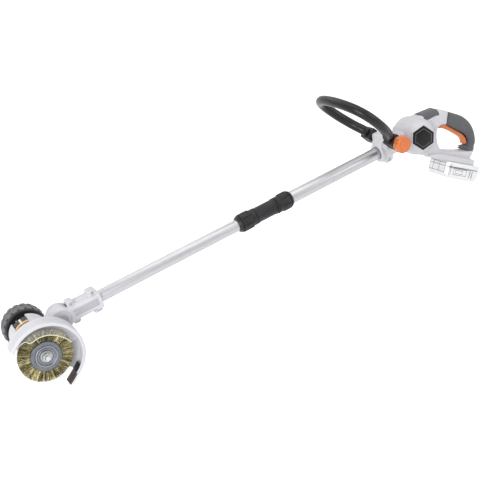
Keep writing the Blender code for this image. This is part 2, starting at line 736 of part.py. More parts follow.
def make_gears(frames, gear_start):
    gear_end = gear_start + GEAR_WIDTH
    sun = prism("sun_gear", gear_outline(SUN_TEETH, ADDENDUM, DEDENDUM, GEAR_BACKLASH),
                gear_start, gear_end, "steel", frames["spindle"], smooth=0)
    cut(sun, rod_mesh("Y", SHAFT_R + GAP, gear_start - PAST, gear_end + PAST), "shaft")
    ring_start = gear_start - RING_OVERHANG
    ring_end = gear_end + 2 * RING_OVERHANG
    ring = turned("ring_gear",
                  ring_profile(GEAR_MODULE * (RING_TEETH / 2 - 2 * DEDENDUM),
                               DRUM_R - DRUM_WALL - GAP, ring_start, ring_end),
                  "Y", "amber", frames["spindle"])
    inside = gear_outline(RING_TEETH, DEDENDUM, ADDENDUM, -GEAR_BACKLASH)
    cut(ring, prism_mesh(turn_outline(inside, 180 / RING_TEETH), ring_start - PAST,
                         ring_end + PAST), "teeth")
    orbit = GEAR_MODULE * (SUN_TEETH + PLANET_TEETH) / 2
    for index in range(PLANET_COUNT):
        turn = 360 * index / PLANET_COUNT
        angle = math.radians(turn)
        axis = empty(f"planet_axis_{index + 1}", frames["spindle"],
                     (orbit * math.cos(angle), 0, orbit * math.sin(angle)))
        outline = gear_outline(PLANET_TEETH, ADDENDUM, DEDENDUM, GEAR_BACKLASH)
        outline = turn_outline(outline, turn + 180 + 180 / PLANET_TEETH)
        planet = prism(f"planet_gear_{index + 1}", outline, gear_start, gear_end, "steel",
                       axis, smooth=0)
        cut(planet, rod_mesh("Y", PLANET_PIN_R + GAP, gear_start - PAST, gear_end + PAST),
            "bore")
    return orbit


def make_spindle(frames, gear_start, orbit):
    """The planet carrier, its pins and the spindle in one piece."""
    carrier_end = gear_start - CARRIER_GAP
    carrier_start = carrier_end - CARRIER_THICKNESS
    tip = BRUSH_CENTRE_Y - BRUSH_WIDTH / 2 - DISC_THICKNESS - NUT_HEIGHT - STEP
    shoulder = BRUSH_CENTRE_Y + BRUSH_WIDTH / 2 + DISC_THICKNESS + GAP
    spindle = turned(
        "spindle",
        [(0, tip), (SPINDLE_R - STEP, tip), (SPINDLE_R - STEP, shoulder),
         (SPINDLE_R, shoulder), (SPINDLE_R, carrier_start), (CARRIER_R, carrier_start),
         (CARRIER_R, carrier_end), (0, carrier_end)],
        "Y", "steel", frames["spindle"])
    for index in range(PLANET_COUNT):
        angle = 2 * math.pi * index / PLANET_COUNT
        pin = rod_mesh("Y", PLANET_PIN_R, carrier_end - 2 * STEP, gear_start + GEAR_WIDTH - STEP,
                       SMALL_STEPS, (orbit * math.cos(angle), 0, orbit * math.sin(angle)))
        join_on(spindle, pin, f"pin_{index + 1}")
    front = HOOD_BACK_Y + GAP
    turned("spindle_bearing",
           ring_profile(SPINDLE_R + GAP, BEARING_OUTER_R, front + BEARING_SEAT + GAP,
                        front + DRUM_FRONT_WALL - GAP),
           "Y", "steel", frames["spindle"], steps=24)


def make_brush_wire(frames):
    """The crimped wires as tapered strands on a turned root that the discs hold."""
    bm = bmesh.new()
    columns = BRISTLE_COUNT
    bore_steps = BORE_STEPS
    low_y = BRUSH_CENTRE_Y - BRUSH_WIDTH / 2 + DISC_THICKNESS
    row_height = (BRUSH_WIDTH - 2 * DISC_THICKNESS) / BRISTLE_ROWS
    root_r = BRUSH_ROOT_R + BRISTLE_ROOT_RISE
    bore_r = SPINDLE_R + BRISTLE_ROOT_RISE
    rows = [low_y + row_height * row for row in range(BRISTLE_ROWS + 1)]

    def root_ring(radius, y):
        return [bm.verts.new(place_on_axis("Y", radius, 2 * math.pi * c / columns, y))
                for c in range(columns)]

    surface = [root_ring(root_r, y) for y in rows]
    bore = [[bm.verts.new(place_on_axis("Y", bore_r, 2 * math.pi * c / bore_steps, y))
             for c in range(bore_steps)] for y in (rows[0], rows[-1])]
    per_bore = columns // bore_steps
    for column in range(bore_steps):
        following = (column + 1) % bore_steps
        bm.faces.new((bore[0][column], bore[1][column], bore[1][following], bore[0][following]))
        for ring, inner in ((surface[0], bore[0]), (surface[-1], bore[1])):
            outer = [ring[(column * per_bore + k) % columns] for k in range(per_bore + 1)]
            bm.faces.new([inner[following], inner[column]] + outer)
    for row in range(BRISTLE_ROWS):
        for column in range(columns):
            following = (column + 1) % columns
            corners = (surface[row][column], surface[row][following],
                       surface[row + 1][following], surface[row + 1][column])
            middle_angle = 2 * math.pi * (column + 0.5) / columns
            middle_y = (rows[row] + rows[row + 1]) / 2
            sway = math.sin(column * 2.4 + row * 1.7)
            length = BRUSH_R - BRISTLE_UNEVEN * (0.5 + 0.5 * math.sin(column * 1.9 + row * 2.3))
            if (column + row) % 5 == 0:
                length = BRUSH_R
            tip = place_on_axis("Y", length, middle_angle + BRISTLE_SWAY / BRUSH_R * sway,
                                middle_y + BRISTLE_SWAY * 0.2 * sway)
            spread = BRUSH_R / root_r
            tip_corners = []
            for corner in corners:
                base = place_on_axis("Y", root_r, middle_angle, middle_y)
                offset = (corner.co - base) * BRISTLE_TAPER
                offset.x *= spread
                offset.z *= spread
                tip_corners.append(bm.verts.new(tip + offset))
            for k in range(4):
                nxt = (k + 1) % 4
                bm.faces.new((corners[k], corners[nxt], tip_corners[nxt], tip_corners[k]))
            bm.faces.new(tip_corners)
    return add_object("brush_wire", bm, "wire", frames["spindle"], smooth=0)


def make_brush_discs(frames):
    front = BRUSH_CENTRE_Y - BRUSH_WIDTH / 2 + DISC_THICKNESS - GAP
    thin = DISC_THICKNESS
    bore = SPINDLE_R - STEP + GAP
    turned(
        "brush_disc_front",
        [(bore, front - thin), (DISH_R - DISH_SLOPE, front - thin),
         (DISH_R, front - thin - DISH_DEPTH),
         (DISC_R - 2 * STEP, front - thin - DISH_DEPTH * 0.6),
         (DISC_R, front - thin * 0.4), (DISC_R, front), (bore, front)],
        "Y", "zinc", frames["spindle"])
    back = BRUSH_CENTRE_Y + BRUSH_WIDTH / 2 - DISC_THICKNESS + GAP
    turned("brush_disc_rear", [(bore, back), (DISC_R, back), (DISC_R, back + thin * 0.6),
                               (DISC_R - 2 * STEP, back + thin), (bore, back + thin)],
           "Y", "zinc", frames["spindle"])
    nut_base = front - thin - GAP
    flange_start = nut_base - NUT_FLANGE_THICKNESS
    hexagon = arc(0, 0, NUT_HEX_R, 0, 300, 5)
    nut = turned("flange_nut", ring_profile(bore, NUT_FLANGE_R, flange_start, nut_base),
                 "Y", "steel", frames["spindle"], steps=16)
    join_on(nut, prism_mesh(hexagon, nut_base - NUT_HEIGHT, flange_start + STEP), "hexagon")
    cut(nut, rod_mesh("Y", bore, nut_base - NUT_HEIGHT - PAST, nut_base + PAST, 16), "bore")


def make_wheel(frames):
    near, far = WHEEL_NEAR_Y, WHEEL_NEAR_Y + WHEEL_WIDTH
    inner = WHEEL_R - TYRE_THICKNESS

    def tread(angle, radius):
        if radius < WHEEL_R:
            return radius
        part = (angle / (2 * math.pi) * TREAD_BLOCKS) % 1.0
        return WHEEL_R if part < 0.6 else WHEEL_R - TREAD_DEPTH

    turned(
        "tyre",
        [(inner, near), (WHEEL_R - TYRE_SHOULDER_DROP, near), (WHEEL_R, near + TYRE_SHOULDER),
         (WHEEL_R, far - TYRE_SHOULDER), (WHEEL_R - TYRE_SHOULDER_DROP, far), (inner, far)],
        "Y", "tyre", frames["spindle"], steps=TREAD_BLOCKS * 3, radius_at=tread, smooth=0)
    rim_outer = inner - GAP
    disc_start = (near + far) / 2 + RIM_DISC_OFFSET
    turned(
        "wheel_rim",
        [(AXLE_R + RUN_GAP, near), (RIM_HUB_R, near), (RIM_HUB_R + STEP, disc_start),
         (rim_outer - RIM_WALL, disc_start), (rim_outer - RIM_WALL, near + STEP),
         (rim_outer, near + STEP), (rim_outer, far - STEP),
         (rim_outer - RIM_WALL, far - STEP), (rim_outer - RIM_WALL, disc_start + RIM_WALL),
         (RIM_HUB_R + STEP, disc_start + RIM_WALL), (RIM_HUB_R, far - RIM_HUB_RECESS),
         (AXLE_R + RUN_GAP, far - RIM_HUB_RECESS)],
        "Y", "black_plastic", frames["spindle"], steps=24)
    head_start = far - RIM_HUB_RECESS + MOVE_GAP
    head_end = head_start + AXLE_HEAD_HEIGHT
    turned(
        "wheel_axle",
        [(0, DRUM_END_Y + 2 * GAP), (AXLE_R, DRUM_END_Y + 2 * GAP), (AXLE_R, head_start),
         (AXLE_HEAD_R, head_start), (AXLE_HEAD_R, head_end - STEP), (0, head_end)],
        "Y", "steel", frames["spindle"], steps=16)


# Neck

def neck_outline():
    rise = math.degrees(math.asin(NECK_HALF_HEIGHT / CHEEK_R))
    disc = arc(0, 0, CHEEK_R, rise, 360 - rise, 14)
    return disc + [(NECK_END_X, -NECK_HALF_HEIGHT), (NECK_END_X, NECK_HALF_HEIGHT)]


def make_neck(frames):
    for side, name in ((-1, "neck_shell_near"), (1, "neck_shell_far")):
        seam = side * GAP / 2
        cheek_inner = LUG_HALF + GAP
        shell = prism(name, neck_outline(), seam, side * NECK_HALF_WIDTH, "casing",
                      frames["tool"], edge_round=NECK_ROUND)
        for row, z in enumerate((NECK_BOSS_Z, -NECK_BOSS_Z)):
            for column, x in enumerate(NECK_BOSS_X):
                low, high = sorted((seam + side * GAP, side * NECK_BOSS_Y))
                join_on(shell, rod_mesh("Y", NECK_BOSS_R, low, high, 10, (x, 0, z)),
                        f"boss_{row}_{column}")
        panel_end = NECK_END_X - NECK_PANEL_MARGIN
        panel = [(CHEEK_R + STEP, -NECK_PANEL_HALF), (panel_end, -NECK_PANEL_HALF),
                 (panel_end, NECK_PANEL_HALF), (CHEEK_R + STEP, NECK_PANEL_HALF)]
        cut(shell, prism_mesh(panel, side * (NECK_HALF_WIDTH - NECK_PANEL_DEPTH),
                              side * (NECK_HALF_WIDTH + PAST)), "panel")
        inner_low, inner_high = sorted((-side * PAST, side * cheek_inner))
        cut(shell, rod_mesh("Y", CHEEK_R + LUG_ROOM, inner_low, inner_high, 20), "lug")
        cut(shell, rod_mesh("X", LOWER_TUBE_D / 2 + GAP, LOWER_TUBE_START - GAP,
                            NECK_END_X + PAST, POLE_STEPS), "tube")
        for row, z in enumerate((NECK_BOSS_Z, -NECK_BOSS_Z)):
            for column, x in enumerate(NECK_BOSS_X):
                cut(shell, rod_mesh("Y", SCREW_R + GAP, -NECK_HALF_WIDTH - PAST,
                                    NECK_HALF_WIDTH + PAST, 8, (x, 0, z)),
                    f"hole_{row}_{column}")
        cut(shell, rod_mesh("Y", PIVOT_PIN_R + RUN_GAP, -NECK_HALF_WIDTH - PAST,
                            NECK_HALF_WIDTH + PAST), "pin")
    count = 0
    for z in (NECK_BOSS_Z, -NECK_BOSS_Z):
        for x in NECK_BOSS_X:
            count += 1
            head = -NECK_BOSS_Y - GAP
            turned(
                f"clamp_screw_{count}",
                [(0, head - SCREW_HEAD_HEIGHT), (SCREW_HEAD_R, head - SCREW_HEAD_HEIGHT),
                 (SCREW_HEAD_R, head), (SCREW_R, head), (SCREW_R, NECK_BOSS_Y - STEP),
                 (0, NECK_BOSS_Y - STEP)],
                "Y", "steel", frames["tool"], steps=8, location=(x, 0, z))
    cheek_outer = LUG_HALF + GAP + CHEEK_THICKNESS
    turned(
        "pivot_pin",
        [(0, -cheek_outer - PIVOT_CAP_HEIGHT),
         (PIVOT_CAP_R - STEP, -cheek_outer - PIVOT_CAP_HEIGHT),
         (PIVOT_CAP_R, -cheek_outer - GAP), (PIVOT_PIN_R, -cheek_outer - GAP),
         (PIVOT_PIN_R, cheek_outer + 2 * STEP), (0, cheek_outer + 2 * STEP)],
        "Y", "casing", frames["tool"])


# Pole

def make_pole(frames):
    lower_end = COLLAR_START + LOWER_TUBE_OVERLAP
    outer = LOWER_TUBE_D / 2
    turned("lower_tube",
           ring_profile(outer - LOWER_TUBE_WALL, outer, LOWER_TUBE_START, lower_end),
           "X", "tube", frames["tool"], steps=POLE_STEPS)
    upper_start = COLLAR_START + FRONT_NUT_LENGTH + UPPER_TUBE_INSET
    outer = UPPER_TUBE_D / 2
    turned("upper_tube",
           ring_profile(outer - UPPER_TUBE_WALL, outer, upper_start, UPPER_TUBE_END),
           "X", "tube", frames["tool"], steps=POLE_STEPS)
    return upper_start


def ribbed(count, rise, base):
    """Turns a round profile's outer radius into one with ribs."""
    def radius_at(angle, radius):
        if radius < base:
            return radius
        part = (angle / (2 * math.pi) * count) % 1.0
        return radius + rise if part < 0.5 else radius
    return radius_at


def make_collar(frames, upper_start):
    tube = LOWER_TUBE_D / 2 + GAP
    nut_end = COLLAR_START + FRONT_NUT_LENGTH
    sleeve_bore = UPPER_TUBE_D / 2 + GAP
    thread_r = SLEEVE_R - STEP
    collet_start = COLLAR_START + COLLET_INSET
    sleeve_start = nut_end - THREAD_LENGTH
    turned(
        "collar_nut_front",
        [(tube, COLLAR_START), (NUT_R - NUT_NOSE, COLLAR_START), (NUT_R, COLLAR_START + NUT_NOSE),
         (NUT_R, nut_end), (thread_r + MOVE_GAP, nut_end),
         (thread_r + MOVE_GAP, collet_start - GAP), (tube, collet_start - GAP)],
        "X", "black_plastic", frames["tool"], steps=NUT_RIBS * 2,
        radius_at=ribbed(NUT_RIBS, -NUT_RIB_RISE, NUT_R))
    turned("collet", ring_profile(tube, thread_r - 2 * STEP, collet_start, sleeve_start - GAP),
           "X", "black_plastic", frames["tool"], steps=POLE_STEPS)
    sleeve_end = nut_end + SLEEVE_LENGTH
    thread_end = sleeve_end + THREAD_LENGTH
    turned(
        "collar_sleeve",
        [(tube, sleeve_start), (thread_r, sleeve_start), (thread_r, nut_end + MOVE_GAP),
         (SLEEVE_R, nut_end + MOVE_GAP), (SLEEVE_R, sleeve_end), (thread_r, sleeve_end),
         (thread_r, thread_end), (sleeve_bore, thread_end),
         (sleeve_bore, upper_start - GAP), (tube, upper_start - GAP)],
        "X", "black_plastic", frames["tool"], steps=POLE_STEPS)
    rear_start = sleeve_end + MOVE_GAP
    rear_end = rear_start + REAR_NUT_LENGTH
    turned(
        "collar_nut_rear",
        [(thread_r + MOVE_GAP, rear_start), (NUT_R - NUT_CHAMFER, rear_start),
         (NUT_R, rear_start + NUT_CHAMFER), (NUT_R, rear_end - NUT_CHAMFER),
         (NUT_R - NUT_CHAMFER, rear_end), (sleeve_bore, rear_end),
         (sleeve_bore, thread_end + MOVE_GAP), (thread_r + MOVE_GAP, thread_end + MOVE_GAP)],
        "X", "black_plastic", frames["tool"], steps=NUT_RIBS * 2,
        radius_at=ribbed(NUT_RIBS, -NUT_RIB_RISE, NUT_R))


def make_lead(frames):
    """The coiled lead inside the pole, as one plain round body of its shortest length."""
    plug_r = UPPER_TUBE_D / 2 - UPPER_TUBE_WALL - GAP
    end = UPPER_TUBE_END - LEAD_PLUG_INSET
    plug_start = end - LEAD_PLUG_LENGTH
    turned(
        "inner_lead",
        [(0, LEAD_START), (LEAD_R, LEAD_START), (LEAD_R, plug_start), (plug_r, plug_start),
         (plug_r, end), (0, end)],
        "X", "black_plastic", frames["tool"], steps=POLE_STEPS // 2)


# Loop handle

def loop_point(distance, y, height=0.0):
    """A place in the loop's own plane, from the pivot: along its lean, across and above."""
    lean = math.radians(LOOP_LEAN_DEG)
    return Vector((-distance * math.cos(lean) - height * math.sin(lean), y,
                   distance * math.sin(lean) - height * math.cos(lean)))


def loop_route():
    """Half of the loop as one smooth line, then its mirror image."""
    half = [
        (LOOP_END_START, LOOP_HALF_SPAN),
        (LOOP_END_START + LOOP_NECK, LOOP_HALF_SPAN + LOOP_SPREAD),
        (LOOP_REACH * 0.27, LOOP_HALF_WIDTH * 0.75),
        (LOOP_REACH * 0.445, LOOP_HALF_WIDTH * 0.934),
        (LOOP_REACH * 0.60, LOOP_HALF_WIDTH),
        (LOOP_REACH * 0.735, LOOP_HALF_WIDTH * 0.989),
        (LOOP_REACH * 0.844, LOOP_HALF_WIDTH * 0.89),
        (LOOP_REACH * 0.928, LOOP_HALF_WIDTH * 0.692),
        (LOOP_REACH * 0.979, LOOP_HALF_WIDTH * 0.396),
        (LOOP_REACH, 0.0),
    ]
    mirrored = [(s, -y) for s, y in reversed(half[:-1])]
    return [loop_point(s, y) for s, y in curve_through(half + mirrored, 2)]


def tube_along(points, radius, steps=10):
    """A closed round tube along a line of points, capped at both ends."""
    bm = bmesh.new()
    rings = []
    lean = math.radians(LOOP_LEAN_DEG)
    plane_normal = Vector((math.sin(lean), 0, math.cos(lean)))
    outward = Vector((-math.cos(lean), 0, math.sin(lean)))
    last = len(points) - 1
    for index, point in enumerate(points):
        if index == 0:
            heading = outward
        elif index == last:
            heading = -outward
        else:
            heading = (points[index + 1] - points[index - 1]).normalized()
        across = plane_normal.cross(heading).normalized()
        ring = []
        for step in range(steps):
            angle = 2 * math.pi * step / steps
            offset = across * math.cos(angle) + plane_normal * math.sin(angle)
            ring.append(bm.verts.new(point + offset * radius))
        rings.append(ring)
    for ring, other in zip(rings, rings[1:]):
        for step in range(steps):
            following = (step + 1) % steps
            bm.faces.new((ring[step], ring[following], other[following], other[step]))
    bm.faces.new(list(reversed(rings[0])))
    bm.faces.new(rings[-1])
    return bm


def make_loop_handle(frames):
    add_object("loop_handle", tube_along(loop_route(), LOOP_TUBE_R), "gloss_black",
               frames["loop"])
    lean = math.radians(LOOP_LEAN_DEG)
    start = -LOOP_END_SIZE / 2
    end = LOOP_END_START - GAP
    half = LOOP_END_SIZE / 2
    corner = LOOP_END_CORNER
    outline = [(start + corner, -half), (end, -half), (end, half), (start + corner, half),
               (start, half - corner), (start, corner - half)]
    turned_back = (0, math.pi + lean, 0)
    for side, name in ((-1, "loop_end_near"), (1, "loop_end_far")):
        low, high = sorted((side * (BRACKET_HALF_WIDTH + GAP), side * LOOP_END_OUTER))
        end_piece = prism(name, outline, low, high, "black_plastic", frames["loop"],
                          edge_round=LOOP_END_ROUND, round_start=True, rotation=turned_back)
        cut(end_piece, rod_mesh("Y", LOOP_BOLT_R + GAP, low - PAST, high + PAST), "bolt")


def make_bracket(frames):
    start, end = BRACKET_START_X, BRACKET_START_X + BRACKET_LENGTH
    top = LOOP_PIVOT_Z + BRACKET_HEAD_R
    low = -BRACKET_LUG_DEPTH
    outline = [(start, low * 0.32), (start + 0.004, low * 0.77), (start + 0.022, low),
               (start + 0.034, low * 0.81), (end, -BRACKET_R), (end, BRACKET_R),
               (LOOP_PIVOT_X + BRACKET_HEAD_R, LOOP_PIVOT_Z + 0.004),
               (LOOP_PIVOT_X + 0.008, top), (start + 0.010, top), (start, top - 0.012)]
    half = BRACKET_HALF_WIDTH
    bracket = prism("loop_bracket", outline, -half, half, "casing", frames["tool"],
                    edge_round=BRACKET_ROUND, round_start=True)
    cut(bracket, rod_mesh("X", UPPER_TUBE_D / 2 + GAP, start - PAST, end + PAST, POLE_STEPS),
        "tube")
    cut(bracket, rod_mesh("Y", LOOP_BOLT_R + GAP, -half - PAST, half + PAST, SMALL_STEPS,
                          (LOOP_PIVOT_X, 0, LOOP_PIVOT_Z)), "bolt")
    screw_at = (start + BRACKET_SCREW_X, 0, BRACKET_SCREW_Z)
    cut(bracket, rod_mesh("Y", SCREW_HEAD_R + GAP, -half - PAST, half + PAST, SMALL_STEPS,
                          screw_at), "screw")
    turned(
        "bracket_screw",
        [(0, -half + STEP), (SCREW_HEAD_R, -half + STEP), (SCREW_HEAD_R, half - STEP),
         (0, half - STEP)],
        "Y", "steel", frames["tool"], steps=SMALL_STEPS, location=screw_at)


def make_knob(frames):
    outer = LOOP_END_OUTER
    base = -outer - GAP
    face = base - KNOB_DEPTH
    bolt_tip = face + BOLT_COVER
    turned(
        "loop_bolt",
        [(0, bolt_tip), (LOOP_BOLT_R, bolt_tip), (LOOP_BOLT_R, outer + GAP),
         (BOLT_HEAD_R, outer + GAP), (BOLT_HEAD_R, outer + BOLT_HEAD_HEIGHT),
         (0, outer + BOLT_HEAD_HEIGHT)],
        "Y", "steel", frames["loop"], steps=SMALL_STEPS)

    def lobed(angle, radius):
        if radius < KNOB_R - KNOB_CHAMFER:
            return radius
        return radius + KNOB_LOBE_RISE * math.cos(KNOB_LOBES * angle)

    bm = turned_mesh(
        [(0, face + KNOB_DIMPLE), (KNOB_DIMPLE_R, face + KNOB_DIMPLE),
         (KNOB_DIMPLE_R + STEP, face), (KNOB_R - KNOB_CHAMFER, face),
         (KNOB_R, face + KNOB_CHAMFER), (KNOB_R, base - KNOB_CHAMFER),
         (KNOB_R - KNOB_CHAMFER, base), (0, base)],
        "Y", KNOB_STEPS, lobed)
    knob = add_object("knob", bm, "orange", frames["loop"])
    cut(knob, rod_mesh("Y", LOOP_BOLT_R + GAP, bolt_tip - GAP, base + PAST), "bore")


# Handle casing

def foot_point(along, up):
    """A place in the battery foot's frame, in the tool frame's X and Z."""
    slope = math.radians(FOOT_SLOPE_DEG)
    return (FOOT_X + along * math.cos(slope) + up * math.sin(slope),
            FOOT_Z - along * math.sin(slope) + up * math.cos(slope))


def hexagon_outline(radius):
    return arc(DRUM_CASE_X, DRUM_CASE_Z, radius, BADGE_TURN_DEG, BADGE_TURN_DEG + 300, 5)


def case_outline():
    """The casing's side view without its round body's boss and its foot's flanges."""
    core_r = DRUM_CASE_R - STEP
    sleeve_deg = math.degrees(math.asin((SLEEVE_HALF_HEIGHT + CASE_WALL) / DRUM_CASE_R))
    line = [(SLEEVE_START_X, -SLEEVE_HALF_HEIGHT), (SLEEVE_START_X, SLEEVE_HALF_HEIGHT)]
    line += arc(DRUM_CASE_X, DRUM_CASE_Z, core_r, 180 - sleeve_deg, 84, 6)
    line += CASE_TOP_LINE + [GRIP_JOINT_TOP, GRIP_JOINT_LOW] + CASE_THROAT_LINE
    line += [GRIP_FOOT_FRONT, GRIP_FOOT_REAR]
    core_low = -FOOT_THICKNESS + 2 * STEP
    core_end = FOOT_LENGTH - 2 * STEP
    line += [foot_point(core_end, 0.0), foot_point(core_end, core_low)]
    line += [foot_point(FOOT_FRONT + 4 * STEP, core_low)]
    line += arc(DRUM_CASE_X, DRUM_CASE_Z, core_r, -84, -180 + sleeve_deg, 7)
    return line


def bar_mesh(section, start, end):
    """A section of (y, z) points, drawn out along X."""
    bm = bmesh.new()
    near = [bm.verts.new((start, y, z)) for y, z in section]
    far = [bm.verts.new((end, y, z)) for y, z in section]
    count = len(section)
    for point in range(count):
        following = (point + 1) % count
        bm.faces.new((near[point], near[following], far[following], far[point]))
    bm.faces.new(list(reversed(near)))
    bm.faces.new(far)
    return bm


def rail_section(room, low):
    """The slide rail's T shape, grown by some room on every side."""
    neck = RAIL_HALF_WIDTH - RAIL_LIP + room
    wide = RAIL_HALF_WIDTH + room
    top = -FOOT_THICKNESS + RAIL_HEIGHT + room
    lip = -FOOT_THICKNESS + RAIL_HEIGHT - RAIL_LIP - room
    return [(-neck, low), (neck, low), (neck, lip), (wide, lip), (wide, top),
            (-wide, top), (-wide, lip), (-neck, lip)]


def in_foot_frame(bm):
    """Turns a mesh given in the battery foot's frame into the tool frame."""
    turn = Matrix.Rotation(math.radians(FOOT_SLOPE_DEG), 4, "Y")
    bm.transform(Matrix.Translation((FOOT_X, 0, FOOT_Z)) @ turn)
    return bm


def make_casing(frames):
    outline = case_outline()
    face = CASE_HALF_WIDTH - 1.5 * STEP
    drum_profile = [
        (0, DRUM_CASE_START), (DRUM_CASE_R - 3 * STEP, DRUM_CASE_START),
        (DRUM_CASE_R, DRUM_CASE_START + 4.5 * STEP), (DRUM_CASE_R, face - DRUM_CASE_ROUND * 1.8),
        (DRUM_CASE_R - 1.5 * STEP, face - DRUM_CASE_ROUND * 1.15),
        (DRUM_CASE_R - DRUM_CASE_ROUND, face), (0, face)]
    for side, label in ((-1, "near"), (1, "far")):
        seam = side * GAP / 2
        shell = prism(f"body_shell_{label}", outline, seam, side * CASE_CORE_HALF, "casing",
                      frames["tool"], edge_round=CASE_CORE_ROUND)
        boss = turned_mesh([(r, side * y) for r, y in drum_profile], "Y",
                           DRUM_CASE_STEPS)
        bmesh.ops.translate(boss, verts=boss.verts, vec=(DRUM_CASE_X, 0, DRUM_CASE_Z))
        join_on(shell, boss, "boss")
        rim = prism_mesh(hexagon_outline(BADGE_R + BADGE_RIM), side * CASE_CORE_HALF,
                         side * CASE_HALF_WIDTH)
        join_on(shell, rim, "rim")
        flange_top = -1.5 * STEP
        flange = [foot_point(FOOT_FRONT, -FOOT_THICKNESS),
                  foot_point(FOOT_FRONT, -FOOT_THICKNESS * 0.56),
                  foot_point(FOOT_FRONT * 0.26, flange_top),
                  foot_point(FOOT_LENGTH - 4 * STEP, flange_top),
                  foot_point(FOOT_LENGTH, flange_top - 3.5 * STEP),
                  foot_point(FOOT_LENGTH, -FOOT_THICKNESS)]
        join_on(shell, prism_mesh(flange, side * FOOT_FLANGE_START, side * FOOT_HALF_WIDTH,
                                  FOOT_ROUND), "flange")
        badge_room = prism_mesh(hexagon_outline(BADGE_R + GAP),
                                side * (CASE_HALF_WIDTH - BADGE_THICKNESS),
                                side * (CASE_HALF_WIDTH + PAST))
        cut(shell, badge_room, "badge")
        inside = side * -STEP
        pocket_r = DRUM_CASE_R - CASE_WALL
        pocket = turned_mesh([(0, inside), (pocket_r, inside), (pocket_r, side * POCKET_HALF),
                              (0, side * (POCKET_HALF + POCKET_CROWN))], "Y", 16)
        bmesh.ops.translate(pocket, verts=pocket.verts, vec=(DRUM_CASE_X, 0, DRUM_CASE_Z))
        cut(shell, pocket, "pocket")
        cut(shell, rod_mesh("X", UPPER_TUBE_D / 2 + GAP, SLEEVE_START_X - PAST,
                            DRUM_CASE_X, POLE_STEPS), "tube")
        slot = bar_mesh(rail_section(SLIDE_ROOM, -FOOT_THICKNESS - PAST), SLOT_FRONT,
                        FOOT_LENGTH + PAST)
        cut(shell, in_foot_frame(slot), "slot")
        cut(shell, prism_mesh(pad_outline(GAP), inside, side * (PAD_HALF_WIDTH + GAP)), "pad")
        cut(shell, box_mesh(*lock_room(side)), "lock")
        cut(shell, prism_mesh(trigger_room(), inside,
                              side * (TRIGGER_HALF_WIDTH + MOVE_GAP / 2)), "trigger")
        low, high = sorted((side * STEP, side * (TRIGGER_HALF_WIDTH + TRIGGER_STUB_LENGTH
                                                 + GAP)))
        cut(shell, rod_mesh("Y", TRIGGER_STUB_R + GAP, low, high, SMALL_STEPS,
                            (TRIGGER_PIVOT[0], 0, TRIGGER_PIVOT[1])), "pivot")
        badge_start = CASE_HALF_WIDTH - BADGE_THICKNESS + GAP
        prism(f"badge_{label}", hexagon_outline(BADGE_R), side * badge_start,
              side * (badge_start + BADGE_THICKNESS - GAP), "gloss_black", frames["tool"],
              edge_round=BADGE_EDGE)


def pad_outline(room):
    """The top pad's side view, grown by some room, and upwards through the casing's top."""
    middle = PAD_BASE_LINE[1][0]
    line = []
    for points, lift in ((PAD_BASE_LINE, -room), (PAD_FACE_LINE, room * 5)):
        for x, z in points:
            outward = (x > middle) - (x < middle)
            line.append((x + outward * room, z + lift))
    return line


def lock_room(side):
    low, high = sorted((side * -STEP, side * (LOCK_HALF_WIDTH + MOVE_GAP / 2)))
    return ((LOCK_START_X - MOVE_GAP / 2, low, LOCK_FLOOR_Z),
            (LOCK_START_X + LOCK_LENGTH + MOVE_GAP / 2, high, LOCK_TOP_Z + 2 * PAST))


def trigger_outline():
    x, z = TRIGGER_PIVOT
    lug = arc(x, z, TRIGGER_LUG_R, 0, 150, 5)
    return TRIGGER_FRONT + TRIGGER_BACK + lug


def trigger_room():
    """The channel that the trigger and its whole swing need."""
    x, z = TRIGGER_PIVOT
    swing = math.radians(TRIGGER_TRAVEL_DEG + TRIGGER_SPARE_DEG)
    back = []
    for px, pz in TRIGGER_BACK:
        dx, dz = px - x, pz - z
        turned_x = dx * math.cos(swing) - dz * math.sin(swing)
        turned_z = dx * math.sin(swing) + dz * math.cos(swing)
        length = math.hypot(turned_x, turned_z)
        scale = (length + MOVE_GAP) / length
        back.append((x + turned_x * scale, z + turned_z * scale))
    lug = arc(x, z, TRIGGER_LUG_R + MOVE_GAP, 10, 170, 6)
    corner = (TRIGGER_MOUTH[0][0], TRIGGER_MOUTH[0][1] + TRIGGER_HALF_WIDTH)
    return TRIGGER_MOUTH + back + lug + [corner]


def grip_outline():
    joint = Vector(GRIP_JOINT_TOP) - Vector(GRIP_JOINT_LOW)
    off_joint = Vector((joint.y, -joint.x)).normalized() * GAP
    foot = Vector(GRIP_FOOT_REAR) - Vector(GRIP_FOOT_FRONT)
    off_foot = Vector((-foot.y, foot.x)).normalized() * GAP
    top = tuple(Vector(GRIP_JOINT_TOP) + off_joint)
    low = tuple(Vector(GRIP_JOINT_LOW) + off_joint)
    front = tuple(Vector(GRIP_FOOT_FRONT) + off_foot)
    rear = tuple(Vector(GRIP_FOOT_REAR) + off_foot)
    return curve_through([top] + GRIP_OUTER_LINE + [rear], 3) + [front] + GRIP_INNER_LINE + [low]


